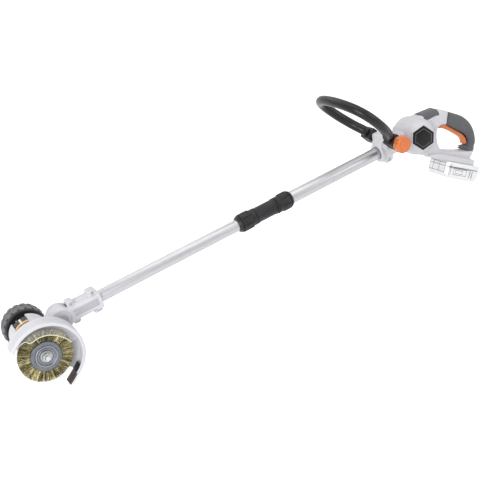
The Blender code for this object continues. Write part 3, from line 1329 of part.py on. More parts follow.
def make_grip(frames):
    for side, label in ((-1, "near"), (1, "far")):
        seam = side * GAP / 2
        half = prism(f"grip_{label}", grip_outline(), seam, side * GRIP_HALF_WIDTH, "grip",
                     frames["tool"], edge_round=GRIP_ROUND, segments=3)
        cut(half, prism_mesh(trigger_room(), side * -STEP,
                             side * (TRIGGER_HALF_WIDTH + MOVE_GAP / 2)), "trigger")
        low, high = sorted((side * -STEP, side * (SWITCH_HALF_WIDTH + GAP)))
        cut(half, box_mesh((SWITCH_LOW[0] - GAP, low, SWITCH_LOW[1] - GAP),
                           (SWITCH_HIGH[0] + GAP, high, SWITCH_HIGH[1] + GAP)), "switch")
    box("switch", (SWITCH_LOW[0], -SWITCH_HALF_WIDTH, SWITCH_LOW[1]),
        (SWITCH_HIGH[0], SWITCH_HALF_WIDTH, SWITCH_HIGH[1]), "black_plastic", frames["tool"])
    pivot = empty("trigger_pivot", frames["tool"], (TRIGGER_PIVOT[0], 0, TRIGGER_PIVOT[1]))
    outline = [(x - TRIGGER_PIVOT[0], z - TRIGGER_PIVOT[1]) for x, z in trigger_outline()]
    trigger = prism("trigger", outline, -TRIGGER_HALF_WIDTH, TRIGGER_HALF_WIDTH, "orange",
                    pivot, edge_round=TRIGGER_ROUND, round_start=True)
    reach = TRIGGER_HALF_WIDTH + TRIGGER_STUB_LENGTH
    join_on(trigger, rod_mesh("Y", TRIGGER_STUB_R, -reach, reach), "stubs")


def make_top(frames):
    prism("top_pad", pad_outline(0.0), -PAD_HALF_WIDTH, PAD_HALF_WIDTH, "grip",
          frames["tool"], edge_round=PAD_ROUND, round_start=True)
    floor = LOCK_FLOOR_Z + LOCK_TRAVEL + MOVE_GAP
    end = LOCK_START_X + LOCK_LENGTH
    outline = [(LOCK_START_X, floor), (end, floor), (end, LOCK_TOP_Z - LOCK_SLOPE),
               (LOCK_START_X + LOCK_CREST, LOCK_TOP_Z - LOCK_SLOPE * 0.72),
               (LOCK_START_X, LOCK_TOP_Z)]
    prism("lock_button", outline, -LOCK_HALF_WIDTH, LOCK_HALF_WIDTH, "orange",
          frames["tool"], edge_round=LOCK_ROUND, round_start=True)


def make_electronics(frames):
    half = POCKET_HALF - BOARD_EDGE_GAP
    box("circuit_board", (BOARD_START_X, -half, BOARD_Z - BOARD_THICKNESS),
        (BOARD_START_X + BOARD_LENGTH, half, BOARD_Z), "board", frames["tool"])
    section = rail_section(-GAP, -FOOT_THICKNESS)
    block = bar_mesh(section, SLOT_FRONT + GAP, SLOT_FRONT + TERMINAL_LENGTH)
    add_object("terminal_block", block, "black_plastic", frames["foot"])


# Battery

def nose_mesh(start, side):
    """A wedge that takes off one of the battery's front corners."""
    bm = bmesh.new()
    outer = side * (BATTERY_HALF_WIDTH + PAST)
    corner = side * (BATTERY_HALF_WIDTH - BATTERY_NOSE)
    reach = BATTERY_NOSE + PAST
    plan = [(start - PAST, corner - side * PAST), (start - PAST, outer), (start + reach, outer),
            (start + BATTERY_NOSE, side * BATTERY_HALF_WIDTH), (start, corner)]
    top = -FOOT_THICKNESS
    low = [bm.verts.new((x, y, top - BATTERY_HEIGHT - 2 * PAST)) for x, y in plan]
    high = [bm.verts.new((x, y, top + 2 * PAST)) for x, y in plan]
    for point in range(len(plan)):
        following = (point + 1) % len(plan)
        bm.faces.new((low[point], low[following], high[following], high[point]))
    bm.faces.new(list(reversed(low)))
    bm.faces.new(high)
    return bm


def make_battery(frames):
    start, end = BATTERY_FRONT, BATTERY_FRONT + BATTERY_LENGTH
    top = -FOOT_THICKNESS - GAP
    seam = top - BATTERY_LID
    base = top - BATTERY_HEIGHT
    half = BATTERY_HALF_WIDTH
    chamfer = BATTERY_LID_CHAMFER
    lid = prism(
        "battery_lid",
        [(start + chamfer, top), (start, top - chamfer), (start, seam + GAP),
         (end, seam + GAP), (end, top - chamfer), (end - chamfer, top)],
        -half, half, "casing", frames["foot"], edge_round=BATTERY_LID_ROUND, round_start=True)
    join_on(lid, bar_mesh(rail_section(0.0, top - chamfer),
                          SLOT_FRONT + TERMINAL_LENGTH + 3 * STEP,
                          FOOT_LENGTH - RAIL_END_GAP), "rail")
    button_x = end - BUTTON_LENGTH
    cut(lid, box_mesh((button_x - MOVE_GAP / 2, -BUTTON_HALF_WIDTH - MOVE_GAP / 2,
                       seam - PAST),
                      (end + PAST, BUTTON_HALF_WIDTH + MOVE_GAP / 2, top + PAST)), "button")
    case = prism(
        "battery_case",
        [(start, seam), (end, seam), (end, base + BATTERY_KEEL), (end - BATTERY_KEEL, base),
         (start + BATTERY_KEEL, base), (start, base + BATTERY_KEEL)],
        -half, half, "casing", frames["foot"], edge_round=BATTERY_ROUND, round_start=True)
    band = BATTERY_BAND_RISE
    band_end = BATTERY_BAND_START + BATTERY_BAND_WIDTH
    join_on(case, prism_mesh(
        [(BATTERY_BAND_START, seam - 2 * STEP), (band_end, seam - 2 * STEP),
         (band_end, base - band), (BATTERY_BAND_START, base - band)],
        -half - band, half + band, BATTERY_BAND_ROUND, True), "band")
    wall = BATTERY_WALL
    floor = base + wall + STEP
    cut(case, box_mesh((start + wall + BATTERY_NOSE, -half + wall, floor),
                       (end - wall - 4 * STEP, half - wall, seam + PAST)), "inside")
    for side, label in ((-1, "near"), (1, "far")):
        for piece in (lid, case):
            cut(piece, nose_mesh(start, side), f"nose_{label}")
    box("battery_button", (button_x, -BUTTON_HALF_WIDTH, seam + BUTTON_TRAVEL + MOVE_GAP),
        (end + 1.5 * STEP, BUTTON_HALF_WIDTH, top - MOVE_GAP), "orange", frames["foot"])
    first = start + wall + BATTERY_NOSE + CELL_R + 2 * STEP
    pitch = (end - wall - 6 * STEP - CELL_R - first) / (CELL_COUNT - 1)
    centre = floor + CELL_R + GAP
    web_deg = 20
    upper, lower = [], []
    for index in range(CELL_COUNT):
        x = first + pitch * index
        upper += arc(x, centre, CELL_R, 180 - web_deg, web_deg, 5)
        lower += arc(x, centre, CELL_R, 180 + web_deg, 360 - web_deg, 5)
    prism("cell_pack", upper + list(reversed(lower)), -CELL_LENGTH / 2, CELL_LENGTH / 2,
          "cell", frames["foot"])


def lay_down(frames):
    """Turns the tool and lifts it, so that it lies on the floor on its three contacts."""
    tool = frames["tool"]
    tool.rotation_euler = (math.radians(REST_ROLL_DEG), math.radians(REST_PITCH_DEG), 0)
    tool.location = (REST_SHIFT_X, REST_SHIFT_Y, REST_LIFT)


def build():
    clear_scene()
    frames = make_frames()
    make_motor_housing(frames)
    make_housing_cap(frames)
    make_hood(frames)
    make_visor(frames)
    make_flap(frames)
    gear_start = make_motor(frames)
    orbit = make_gears(frames, gear_start)
    make_spindle(frames, gear_start, orbit)
    make_brush_wire(frames)
    make_brush_discs(frames)
    make_wheel(frames)
    make_neck(frames)
    upper_start = make_pole(frames)
    make_collar(frames, upper_start)
    make_lead(frames)
    make_loop_handle(frames)
    make_bracket(frames)
    make_knob(frames)
    make_casing(frames)
    make_grip(frames)
    make_top(frames)
    make_electronics(frames)
    make_battery(frames)
    lay_down(frames)


build()
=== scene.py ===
"""Looks of the cordless joint cleaner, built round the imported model.

Every length is in metres.  Pieces are made in the tool's own frame: its origin is where the
head tilts, X runs along the pole towards the handle, Y along the brush spindle towards the
guide wheel, and Z up.  TOOL places that frame as the tool lies on the floor.
"""

import json
import math
import random

import bmesh
import bpy
from mathutils import Matrix, Vector


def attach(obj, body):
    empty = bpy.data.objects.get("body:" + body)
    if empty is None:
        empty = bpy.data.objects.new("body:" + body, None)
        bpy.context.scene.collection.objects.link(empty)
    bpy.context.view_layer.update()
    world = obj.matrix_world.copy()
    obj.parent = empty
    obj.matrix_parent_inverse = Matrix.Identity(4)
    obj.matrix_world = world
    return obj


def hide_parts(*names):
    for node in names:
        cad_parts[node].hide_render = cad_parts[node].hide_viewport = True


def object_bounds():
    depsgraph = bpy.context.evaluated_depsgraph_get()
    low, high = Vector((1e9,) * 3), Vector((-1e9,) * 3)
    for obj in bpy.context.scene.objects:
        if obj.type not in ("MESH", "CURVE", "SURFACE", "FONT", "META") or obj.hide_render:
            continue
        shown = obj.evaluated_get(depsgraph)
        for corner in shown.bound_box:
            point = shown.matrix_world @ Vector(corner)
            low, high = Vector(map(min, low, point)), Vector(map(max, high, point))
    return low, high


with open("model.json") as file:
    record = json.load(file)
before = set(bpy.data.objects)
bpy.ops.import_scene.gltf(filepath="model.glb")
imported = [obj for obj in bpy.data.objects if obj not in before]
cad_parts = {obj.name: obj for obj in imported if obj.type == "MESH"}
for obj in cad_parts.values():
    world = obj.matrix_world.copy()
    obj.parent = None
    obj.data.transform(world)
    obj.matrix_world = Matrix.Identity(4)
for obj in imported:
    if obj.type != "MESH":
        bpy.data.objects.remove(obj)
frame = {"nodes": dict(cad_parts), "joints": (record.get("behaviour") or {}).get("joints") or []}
CAD_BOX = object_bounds()


# The tool's frame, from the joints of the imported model

JOINTS = {joint["name"]: joint for joint in frame["joints"]}


def joint_axis(name):
    """Which way a joint's axis runs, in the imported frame."""
    return Vector(JOINTS[name]["axis"]).normalized()


def tool_matrix():
    """Places the tool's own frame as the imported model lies."""
    along = joint_axis("pole_slide")
    across = joint_axis("head_tilt")
    up = along.cross(across)
    turn = Matrix((along, across, up)).transposed().to_4x4()
    return Matrix.Translation(JOINTS["head_tilt"]["pos_m"]) @ turn


TOOL = tool_matrix()
INTO_TOOL = TOOL.inverted()


def joint_place(name):
    """Where a joint is, in the tool's frame."""
    return INTO_TOOL @ Vector(JOINTS[name]["pos_m"])


def node_box(node, into=INTO_TOOL):
    """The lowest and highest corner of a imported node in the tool's frame, or in another."""
    places = [into @ vert.co for vert in frame["nodes"][node].data.vertices]
    low = Vector([min(p[k] for p in places) for k in range(3)])
    high = Vector([max(p[k] for p in places) for k in range(3)])
    return low, high


SPINDLE = joint_place("brush_spin")
LOOP = joint_place("loop_tilt")
TRIGGER = joint_place("trigger_pull")
LOOP_PIN = (LOOP.x, 0, LOOP.z)
TRIGGER_PIN = (TRIGGER.x, 0, TRIGGER.z)

# Camera, in the tool's frame
CAMERA_TURN = Vector((-1.14067607, 0.03637703, 0.61385644))
CAMERA_SHIFT = Vector((-0.37364875, -0.15947152, -1.76174587))
CAMERA_LENS = 63.75
CAMERA_SENSOR = 36.0
CAMERA_CLIP = (0.05, 60.0)

GAP = 0.0003
SMOOTH_DEG = 32
ORIGIN = (0, 0, 0)
THROUGH = (-0.05, 0.05)
SIDES = ((-1, "near"), (1, "far"))


# Materials

def node_tree(name):
    """A new material with its node tree and its main shader."""
    mat = bpy.data.materials.new(name)
    mat.use_nodes = True
    tree = mat.node_tree
    return mat, tree, tree.nodes["Principled BSDF"]


def add_node(tree, kind, **values):
    node = tree.nodes.new(kind)
    for key, value in values.items():
        if key in node.inputs:
            node.inputs[key].default_value = value
        else:
            setattr(node, key, value)
    return node


def place_coords(tree, stretch=(1, 1, 1)):
    """Object coordinates in metres, turned into the tool's frame and stretched."""
    coords = add_node(tree, "ShaderNodeTexCoord")
    mapping = add_node(tree, "ShaderNodeMapping")
    mapping.vector_type = "POINT"
    mapping.inputs["Rotation"].default_value = INTO_TOOL.to_euler()
    tree.links.new(coords.outputs["Object"], mapping.inputs["Vector"])
    scale = add_node(tree, "ShaderNodeVectorMath", operation="MULTIPLY")
    scale.inputs[1].default_value = stretch
    tree.links.new(mapping.outputs["Vector"], scale.inputs[0])
    return scale.outputs["Vector"]


def noise_of(tree, vector, scale, detail, rough):
    node = add_node(tree, "ShaderNodeTexNoise", Scale=scale, Detail=detail, Roughness=rough)
    tree.links.new(vector, node.inputs["Vector"])
    return node.outputs["Fac"]


def ramp_of(tree, factor, stops):
    node = add_node(tree, "ShaderNodeValToRGB")
    ramp = node.color_ramp
    while len(ramp.elements) < len(stops):
        ramp.elements.new(0.5)
    for element, (place, colour) in zip(ramp.elements, stops):
        element.position = place
        element.color = (*colour, 1.0)
    tree.links.new(factor, node.inputs["Fac"])
    return node.outputs["Color"]


def map_range(tree, value, low, high, to_low, to_high):
    node = add_node(tree, "ShaderNodeMapRange")
    node.inputs["From Min"].default_value = low
    node.inputs["From Max"].default_value = high
    node.inputs["To Min"].default_value = to_low
    node.inputs["To Max"].default_value = to_high
    tree.links.new(value, node.inputs["Value"])
    return node.outputs["Result"]


def bump_of(tree, height, strength, distance, after=None):
    node = add_node(tree, "ShaderNodeBump", Strength=strength, Distance=distance)
    tree.links.new(height, node.inputs["Height"])
    if after is not None:
        tree.links.new(after, node.inputs["Normal"])
    return node.outputs["Normal"]


def shade(colour, amount):
    """A colour made lighter or darker."""
    return tuple(max(0.0, min(1.0, c * amount)) for c in colour)


def set_shader(tree, shader, links, values):
    """Links some of a shader's inputs and gives others a plain value."""
    for name, output in links.items():
        tree.links.new(output, shader.inputs[name])
    for name, value in values.items():
        shader.inputs[name].default_value = value


def moulded_plastic(name, colour, rough, grain, depth, wear, sheen=0.0, gloss=0.5):
    """Moulded plastic or rubber: eroded grain, faint flow marks and rubbed places."""
    mat, tree, shader = node_tree(name)
    coords = place_coords(tree)
    flow = noise_of(tree, coords, 28.0, 4.0, 0.55)
    fine = noise_of(tree, coords, grain, 2.0, 0.6)
    rubbed = noise_of(tree, coords, 120.0, 5.0, 0.7)
    tones = [(0.30, shade(colour, 1 - wear)), (0.55, colour), (0.75, shade(colour, 1 + wear))]
    set_shader(tree, shader, {
        "Base Color": ramp_of(tree, flow, tones),
        "Roughness": map_range(tree, rubbed, 0.3, 0.75, rough - 0.07, rough + 0.09),
        "Normal": bump_of(tree, fine, 0.35, depth),
    }, {"Sheen Weight": sheen, "Specular IOR Level": gloss})
    return mat


def drawn_metal(name, colour, rough, stretch):
    """Metal with fine lines along one way and faint cloudy marks."""
    mat, tree, shader = node_tree(name)
    lines = noise_of(tree, place_coords(tree, stretch), 900.0, 3.0, 0.65)
    cloud = noise_of(tree, place_coords(tree), 60.0, 4.0, 0.6)
    tones = [(0.3, shade(colour, 0.96)), (0.7, shade(colour, 1.04))]
    set_shader(tree, shader, {
        "Base Color": ramp_of(tree, cloud, tones),
        "Roughness": map_range(tree, lines, 0.3, 0.7, rough - 0.06, rough + 0.08),
        "Normal": bump_of(tree, lines, 0.25, 0.00004),
    }, {"Metallic": 1.0})
    return mat


def ring_metal(name, colour, rough, spots):
    """Zinc plated sheet that was turned, with fine rings round the spindle and dull spots."""
    mat, tree, shader = node_tree(name)
    coords = add_node(tree, "ShaderNodeTexCoord").outputs["Object"]
    shift = add_node(tree, "ShaderNodeVectorMath", operation="SUBTRACT")
    shift.inputs[1].default_value = TOOL @ SPINDLE
    tree.links.new(coords, shift.inputs[0])
    length = add_node(tree, "ShaderNodeVectorMath", operation="LENGTH")
    tree.links.new(shift.outputs["Vector"], length.inputs[0])
    radius = add_node(tree, "ShaderNodeCombineXYZ")
    tree.links.new(length.outputs["Value"], radius.inputs["X"])
    rings = noise_of(tree, radius.outputs["Vector"], 2600.0, 3.0, 0.7)
    cloud = noise_of(tree, coords, 260.0, 5.0, 0.7)
    tones = [(0.32, shade(colour, 1 - 2 * spots)), (0.5, colour),
             (0.72, shade(colour, 1 + spots))]
    first = bump_of(tree, rings, 0.30, 0.00006)
    set_shader(tree, shader, {
        "Base Color": ramp_of(tree, cloud, tones),
        "Roughness": map_range(tree, cloud, 0.3, 0.7, rough + 0.10, rough - 0.06),
        "Normal": bump_of(tree, cloud, 0.25, 0.0001, first),
    }, {"Metallic": 0.85})
    return mat


def wire_brass(name, bright, dull):
    """Brass coated wires, each stretch with its own tone."""
    mat, tree, shader = node_tree(name)
    coords = place_coords(tree)
    tone = noise_of(tree, coords, 900.0, 2.0, 0.8)
    broad = noise_of(tree, coords, 90.0, 3.0, 0.6)
    mixed = add_node(tree, "ShaderNodeMath", operation="MULTIPLY_ADD")
    tree.links.new(tone, mixed.inputs[0])
    mixed.inputs[1].default_value = 0.7
    tree.links.new(map_range(tree, broad, 0.3, 0.7, 0.0, 0.3), mixed.inputs[2])
    tones = [(0.30, shade(dull, 0.55)), (0.5, dull), (0.68, bright),
             (0.85, shade(bright, 1.5))]
    set_shader(tree, shader, {
        "Base Color": ramp_of(tree, mixed.outputs["Value"], tones),
        "Roughness": map_range(tree, tone, 0.3, 0.7, 0.30, 0.5),
    }, {"Metallic": 0.55})
    return mat


def clear_sheet(name, colour, alpha, rough):
    """Clear plastic sheet with a faint haze and hairline scratches."""
    mat, tree, shader = node_tree(name)
    haze = noise_of(tree, place_coords(tree), 70.0, 4.0, 0.6)
    scratch = noise_of(tree, place_coords(tree, (1, 1, 14)), 300.0, 3.0, 0.7)
    set_shader(tree, shader, {
        "Alpha": map_range(tree, haze, 0.3, 0.7, alpha * 0.85, alpha * 1.2),
        "Roughness": map_range(tree, scratch, 0.35, 0.7, rough, rough + 0.10),
    }, {"Base Color": (*colour, 1.0)})
    return mat


LIGHT_GREY = (0.645, 0.637, 0.665)
MATERIALS = {
    "casing": moulded_plastic("casing_plastic", LIGHT_GREY, 0.40, 1600.0, 0.00005, 0.025),
    "recess": moulded_plastic("recess_plastic", (0.48, 0.47, 0.51), 0.50, 1600.0, 0.00006, 0.03),
    "grip": moulded_plastic("grip_rubber", (0.092, 0.092, 0.098), 0.62, 2100.0, 0.00012, 0.10,
                            sheen=0.15),
    "foam": moulded_plastic("loop_rubber", (0.011, 0.010, 0.012), 0.30, 1200.0, 0.00006, 0.12,
                            gloss=0.30),
    "black": moulded_plastic("black_plastic", (0.016, 0.015, 0.017), 0.42, 1500.0, 0.00006, 0.15,
                             gloss=0.30),
    "badge": moulded_plastic("badge_plastic", (0.005, 0.005, 0.006), 0.20, 900.0, 0.00002, 0.10,
                             gloss=0.22),
    "badge_line": moulded_plastic("badge_line", (0.20, 0.20, 0.21), 0.30, 900.0, 0.00002, 0.05),
    "orange": moulded_plastic("orange_plastic", (0.72, 0.190, 0.050), 0.36, 1500.0, 0.00005, 0.07),
    "amber": moulded_plastic("amber_plastic", (0.78, 0.45, 0.16), 0.36, 1500.0, 0.00005, 0.08),
    "clear": clear_sheet("clear_plastic", (0.92, 0.925, 0.95), 0.075, 0.10),
    # Cream plastic for the motor's terminal strip; on the visor's sill the same cream is a painted
    # glint along the clear sheet's edge.
    "sill": moulded_plastic("pale_strip_and_painted_edge_glint", (0.80, 0.76, 0.60), 0.25, 900.0, 0.00003, 0.04),
    "tube": drawn_metal("tube_aluminium", (0.46, 0.46, 0.475), 0.38, (0.02, 1, 1)),
    "steel": drawn_metal("turned_steel", (0.50, 0.51, 0.52), 0.26, (1, 0.05, 1)),
    "dark_steel": drawn_metal("dark_steel", (0.32, 0.32, 0.34), 0.30, (1, 0.05, 1)),
    "zinc": ring_metal("zinc_plate", (0.150, 0.160, 0.185), 0.34, 0.22),
    # One brass wire in three copies: the light copy is painted glints and the dark copy is painted
    # shade.
    "wire": wire_brass("brass_wire", (0.55, 0.47, 0.22), (0.24, 0.20, 0.075)),
    "wire_light": wire_brass("brass_wire_painted_glint", (0.95, 0.88, 0.58), (0.60, 0.53, 0.27)),
    "wire_dark": wire_brass("brass_wire_painted_shade", (0.15, 0.12, 0.042), (0.055, 0.043, 0.012)),
    # Darker than any wire copy: painted shade deep in the packed wires.
    "wire_core": moulded_plastic("packed_wire_painted_shade", (0.10, 0.080, 0.030), 0.55, 700.0, 0.0004,
                                 0.35),
    "motor": drawn_metal("motor_can", (0.085, 0.085, 0.09), 0.28, (1, 0.05, 1)),
    "rubber": moulded_plastic("flap_rubber", (0.060, 0.043, 0.042), 0.60, 1300.0, 0.0001, 0.15),
    # The tyre's body and its tread blocks are one rubber: the blocks' lighter colour is painted
    # light on the tread's top, and the darker body stands for the shaded walls.
    "tyre": moulded_plastic("tyre_rubber", (0.034, 0.032, 0.032), 0.66, 700.0, 0.00025, 0.22,
                            sheen=0.1),
    "tread": moulded_plastic("tread_rubber_painted_light", (0.150, 0.145, 0.145), 0.70, 700.0, 0.00025, 0.22,
                             sheen=0.2),
    "board": moulded_plastic("circuit_board", (0.03, 0.20, 0.08), 0.45, 700.0, 0.0001, 0.12),
    "cell": moulded_plastic("cell_wrap", (0.12, 0.30, 0.50), 0.35, 700.0, 0.00004, 0.08),
    "seam": moulded_plastic("seam_shade", (0.20, 0.195, 0.215), 0.55, 1600.0, 0.00005, 0.03),
    "battery": moulded_plastic("battery_plastic", (0.90, 0.90, 0.905), 0.45, 1600.0, 0.00005,
                               0.02),
}


# Shapes

def filleted(points, radius, steps=4):
    """A closed outline of points whose corners are rounded; a third value is its own radius."""
    line = []
    count = len(points)
    for index, point in enumerate(points):
        here = Vector(point[:2])
        before = Vector(points[index - 1][:2]) - here
        after = Vector(points[(index + 1) % count][:2]) - here
        wanted = point[2] if len(point) > 2 else radius
        first, second = before.normalized(), after.normalized()
        angle = first.angle(second, math.pi)
        if wanted <= 0 or angle > math.radians(176):
            line.append(tuple(here))
            continue
        trim = min(wanted / math.tan(angle / 2), 0.46 * before.length, 0.46 * after.length)
        arc_r = trim * math.tan(angle / 2)
        centre = here + (first + second).normalized() * (arc_r / math.sin(angle / 2))
        start, end = here + first * trim - centre, here + second * trim - centre
        sweep = math.pi - angle
        for step in range(steps + 1):
            part = step / steps
            blend = (start * math.sin((1 - part) * sweep) + end * math.sin(part * sweep))
            line.append(tuple(centre + blend / math.sin(sweep)))
    return line


def arc(centre_x, centre_z, radius, start_deg, end_deg, steps):
    """Points (x, z) on part of a circle."""
    points = []
    for index in range(steps + 1):
        angle = math.radians(start_deg + (end_deg - start_deg) * index / steps)
        points.append((centre_x + radius * math.cos(angle), centre_z + radius * math.sin(angle)))
    return points


def curve_through(points, steps=6):
    """A smooth open line through points of any size."""
    rows = [Vector(p) for p in points]
    rows = [2 * rows[0] - rows[1]] + rows + [2 * rows[-1] - rows[-2]]
    line = []
    for p0, p1, p2, p3 in zip(rows, rows[1:], rows[2:], rows[3:]):
        for index in range(steps):
            t = index / steps
            line.append(0.5 * (2 * p1 + (p2 - p0) * t + (2 * p0 - 5 * p1 + 4 * p2 - p3) * t ** 2
                               + (3 * p1 - p0 - 3 * p2 + p3) * t ** 3))
    line.append(rows[-2])
    return [tuple(p) for p in line]


def inset_outline(outline, distance):
    """An outline moved inwards by a distance, corner by corner."""
    area = sum(x0 * z1 - x1 * z0
               for (x0, z0), (x1, z1) in zip(outline, outline[1:] + outline[:1]))
    side = 1 if area > 0 else -1
    moved = []
    for index, (x, z) in enumerate(outline):
        before = Vector((x, z)) - Vector(outline[index - 1])
        after = Vector(outline[(index + 1) % len(outline)]) - Vector((x, z))
        first = Vector((-before.y, before.x)).normalized() * side
        second = Vector((-after.y, after.x)).normalized() * side
        step = (first + second) / (1 + first.dot(second)) * distance
        moved.append((x + step.x, z + step.y))
    return moved


def bridge(bm, ring, other):
    """Faces between two rings of as many corners."""
    count = len(ring)
    for point in range(count):
        following = (point + 1) % count
        bm.faces.new((ring[point], ring[following], other[following], other[point]))


def on_axis(axis, centre, radius, angle, along):
    """A point at a radius and an angle round an axis that runs along X or Y."""
    x, y, z = centre
    if axis == "X":
        return (along, y + radius * math.cos(angle), z + radius * math.sin(angle))
    return (x + radius * math.cos(angle), along, z + radius * math.sin(angle))


def lathe(profile, axis="Y", centre=ORIGIN, steps=72, shape=None):
    """A closed profile of (radius, along) points turned round an axis."""
    bm = bmesh.new()
    rings = []
    for index in range(steps):
        angle = 2 * math.pi * index / steps
        ring = []
        for radius, along in profile:
            reach = shape(angle, radius, along) if shape else radius
            ring.append(bm.verts.new(on_axis(axis, centre, reach, angle, along)))
        rings.append(ring)
    for index in range(steps):
        bridge(bm, rings[index], rings[(index + 1) % steps])
    bmesh.ops.remove_doubles(bm, verts=bm.verts, dist=1e-7)
    loose = [edge for edge in bm.edges if not edge.link_faces]
    bmesh.ops.delete(bm, geom=loose, context="EDGES")
    return bm


def lofted(rows, flip=False):
    """Rows of points joined one to the next, with the first and the last row filled in."""
    bm = bmesh.new()
    rings = [[bm.verts.new(place) for place in row] for row in rows]
    for ring, other in zip(rings, rings[1:]):
        bridge(bm, ring, other)
    bm.faces.new(rings[0] if flip else rings[0][::-1])
    bm.faces.new(rings[-1][::-1] if flip else rings[-1])
    return bm


def rectangle(low_x, high_x, low_y, high_y):
    """The corners of a rectangle, for a profile or an outline."""
    return [(low_x, low_y), (high_x, low_y), (high_x, high_y), (low_x, high_y)]


def y_span(side, near, far):
    """The lower and higher of two places across the tool, on one side of its middle plane."""
    return sorted((side * near, side * far))


def set_off(rows, base):
    """Profile rows whose second value is measured from a base; a corner's own radius stays."""
    return [(first, base + second, *own) for first, second, *own in rows]


def turned(profile, steps):
    """A closed profile of (radius, along) points turned round the brush spindle."""
    return lathe(profile, "Y", SPINDLE, steps)


def sector(profile, centre, start_deg, end_deg, steps, axis="Y"):
    """A closed profile of (radius, along) points turned part of a circle round X or Y."""
    rows = []
    for index in range(steps + 1):
        angle = math.radians(start_deg + (end_deg - start_deg) * index / steps)
        rows.append([on_axis(axis, centre, r, angle, y) for r, y in profile])
    return lofted(rows, flip=True)


def slab(outline, start, end, edge=0.0, steps=4, both=True):
    """An outline of (x, z) points drawn out along Y, with rounded edges."""
    toward = 1 if end > start else -1
    levels = [(end, 0.0)]
    if edge:
        levels = []
        for index in range(steps + 1):
            turn = math.pi / 2 * index / steps
            levels.append((end - toward * edge * (1 - math.sin(turn)),
                           edge * (1 - math.cos(turn))))
    if edge and both:
        levels = [(start + end - y, inset) for y, inset in reversed(levels)] + levels
    else:
        levels = [(start, 0.0)] + levels
    rows = []
    for y, inset in levels:
        points = inset_outline(outline, inset) if inset else outline
        rows.append([(x, y, z) for x, z in points])
    return lofted(rows)


def block(low, high, edge=0.0, steps=3):
    """A box with rounded edges, from its lowest to its highest corner."""
    outline = rectangle(low[0], high[0], low[2], high[2])
    if edge:
        outline = filleted(outline, edge, steps)
    return slab(outline, low[1], high[1], edge * 0.6, steps)


def sweep(points, radius, sides=10, up=Vector((0, 0, 1)), shape=None):
    """A tube of a radius, or of one from shape(part, angle), along a line of points."""
    line = [Vector(p) for p in points]
    last = len(line) - 1
    side = None
    rows = []
    for index, point in enumerate(line):
        heading = (line[min(index + 1, last)] - line[max(index - 1, 0)]).normalized()
        if side is None:
            side = heading.cross(up).normalized()
        side = (side - heading * side.dot(heading)).normalized()
        lift = heading.cross(side)
        row = []
        for step in range(sides):
            angle = 2 * math.pi * step / sides
            reach = shape(index / last, angle) if shape else radius
            row.append(point + (side * math.cos(angle) + lift * math.sin(angle)) * reach)
        rows.append(row)
    return lofted(rows)


def bar(section, start, end):
    """A section of (y, z) points drawn out along X."""
    return lofted([[(x, y, z) for y, z in section] for x in (start, end)])


def rod(axis, centre, radius, start, end, steps=32):
    """A plain round bar along an axis."""
    return lathe(rectangle(0, radius, start, end), axis, centre, steps)


def ring_cut(axis_r, depth, y, half, start_deg, end_deg, centre):
    """A cutter for a groove round Y on a surface of a radius."""
    return sector(rectangle(axis_r - depth, axis_r + 0.002, y - half, y + half),
                  centre, start_deg, end_deg, 30)


def screw_head(place, radius, height, toward):
    """A pan head with a cross slot, on a face that looks along plus or minus Y."""
    x, y, z = place
    profile = [(0, y), (radius, y), (radius, y + toward * height * 0.5, radius * 0.4),
               (0, y + toward * height)]
    head = lathe(filleted(profile, 0.0, 4), "Y", (x, 0, z), 28)
    top = y + toward * height
    low, high = sorted((top - toward * height * 0.6, top + toward * 0.001))
    slots = []
    for half_x, half_z in ((radius * 0.62, radius * 0.13), (radius * 0.13, radius * 0.62)):
        slots.append(block((x - half_x, low, z - half_z), (x + half_x, high, z + half_z)))
    return combined(head, [], slots)


def round_spindle(angle):
    """Turns a shape made along X at the spindle to an angle round it."""
    place = Matrix.Translation((SPINDLE.x, 0, SPINDLE.z))
    return place @ Matrix.Rotation(-angle, 4, "Y")


def moved(bm, matrix):
    bm.transform(matrix)
    return bm


def merged(*meshes):
    """Several meshes in one, as they are."""
    whole = bmesh.new()
    for bm in meshes:
        mesh = bpy.data.meshes.new("merge")
        bm.to_mesh(mesh)
        bm.free()
        whole.from_mesh(mesh)
        bpy.data.meshes.remove(mesh)
    return whole


def helper_object(bm):
    """A passing object that modifiers can work on."""
    bmesh.ops.recalc_face_normals(bm, faces=bm.faces)
    mesh = bpy.data.meshes.new("helper")
    bm.to_mesh(mesh)
    bm.free()
    obj = bpy.data.objects.new("helper", mesh)
    bpy.context.scene.collection.objects.link(obj)
    return obj


def evaluated_bmesh(obj):
    """What an object's modifiers make of it."""
    bpy.context.view_layer.update()
    shown = obj.evaluated_get(bpy.context.evaluated_depsgraph_get())
    bm = bmesh.new()
    mesh = shown.to_mesh()
    bm.from_mesh(mesh)
    shown.to_mesh_clear()
    return bm


def combined(base, adds=(), cuts=()):
    """A closed mesh with others joined on and others cut out."""
    obj = helper_object(base)
    helpers = []
    for operation, group in (("UNION", adds), ("DIFFERENCE", cuts)):
        for bm in group:
            other = helper_object(bm)
            modifier = obj.modifiers.new("step", "BOOLEAN")
            modifier.operation = operation
            modifier.solver = "EXACT"
            modifier.object = other
            helpers.append(other)
    result = evaluated_bmesh(obj)
    for old in helpers + [obj]:
        mesh = old.data
        bpy.data.objects.remove(old)
        bpy.data.meshes.remove(mesh)
    return result


def moulded(bm, voxel, rounds, keep):
    """Rounds every edge of a closed mesh a little, as a moulded part's edges are."""
    obj = helper_object(bm)
    remesh = obj.modifiers.new("voxels", "REMESH")
    remesh.mode = "VOXEL"
    remesh.voxel_size = voxel
    remesh.use_smooth_shade = True
    soften = obj.modifiers.new("soften", "SMOOTH")
    soften.factor = 0.5
    soften.iterations = rounds
    thin = obj.modifiers.new("thin", "DECIMATE")
    thin.ratio = keep
    result = evaluated_bmesh(obj)
    mesh = obj.data
    bpy.data.objects.remove(obj)
    bpy.data.meshes.remove(mesh)
    return result


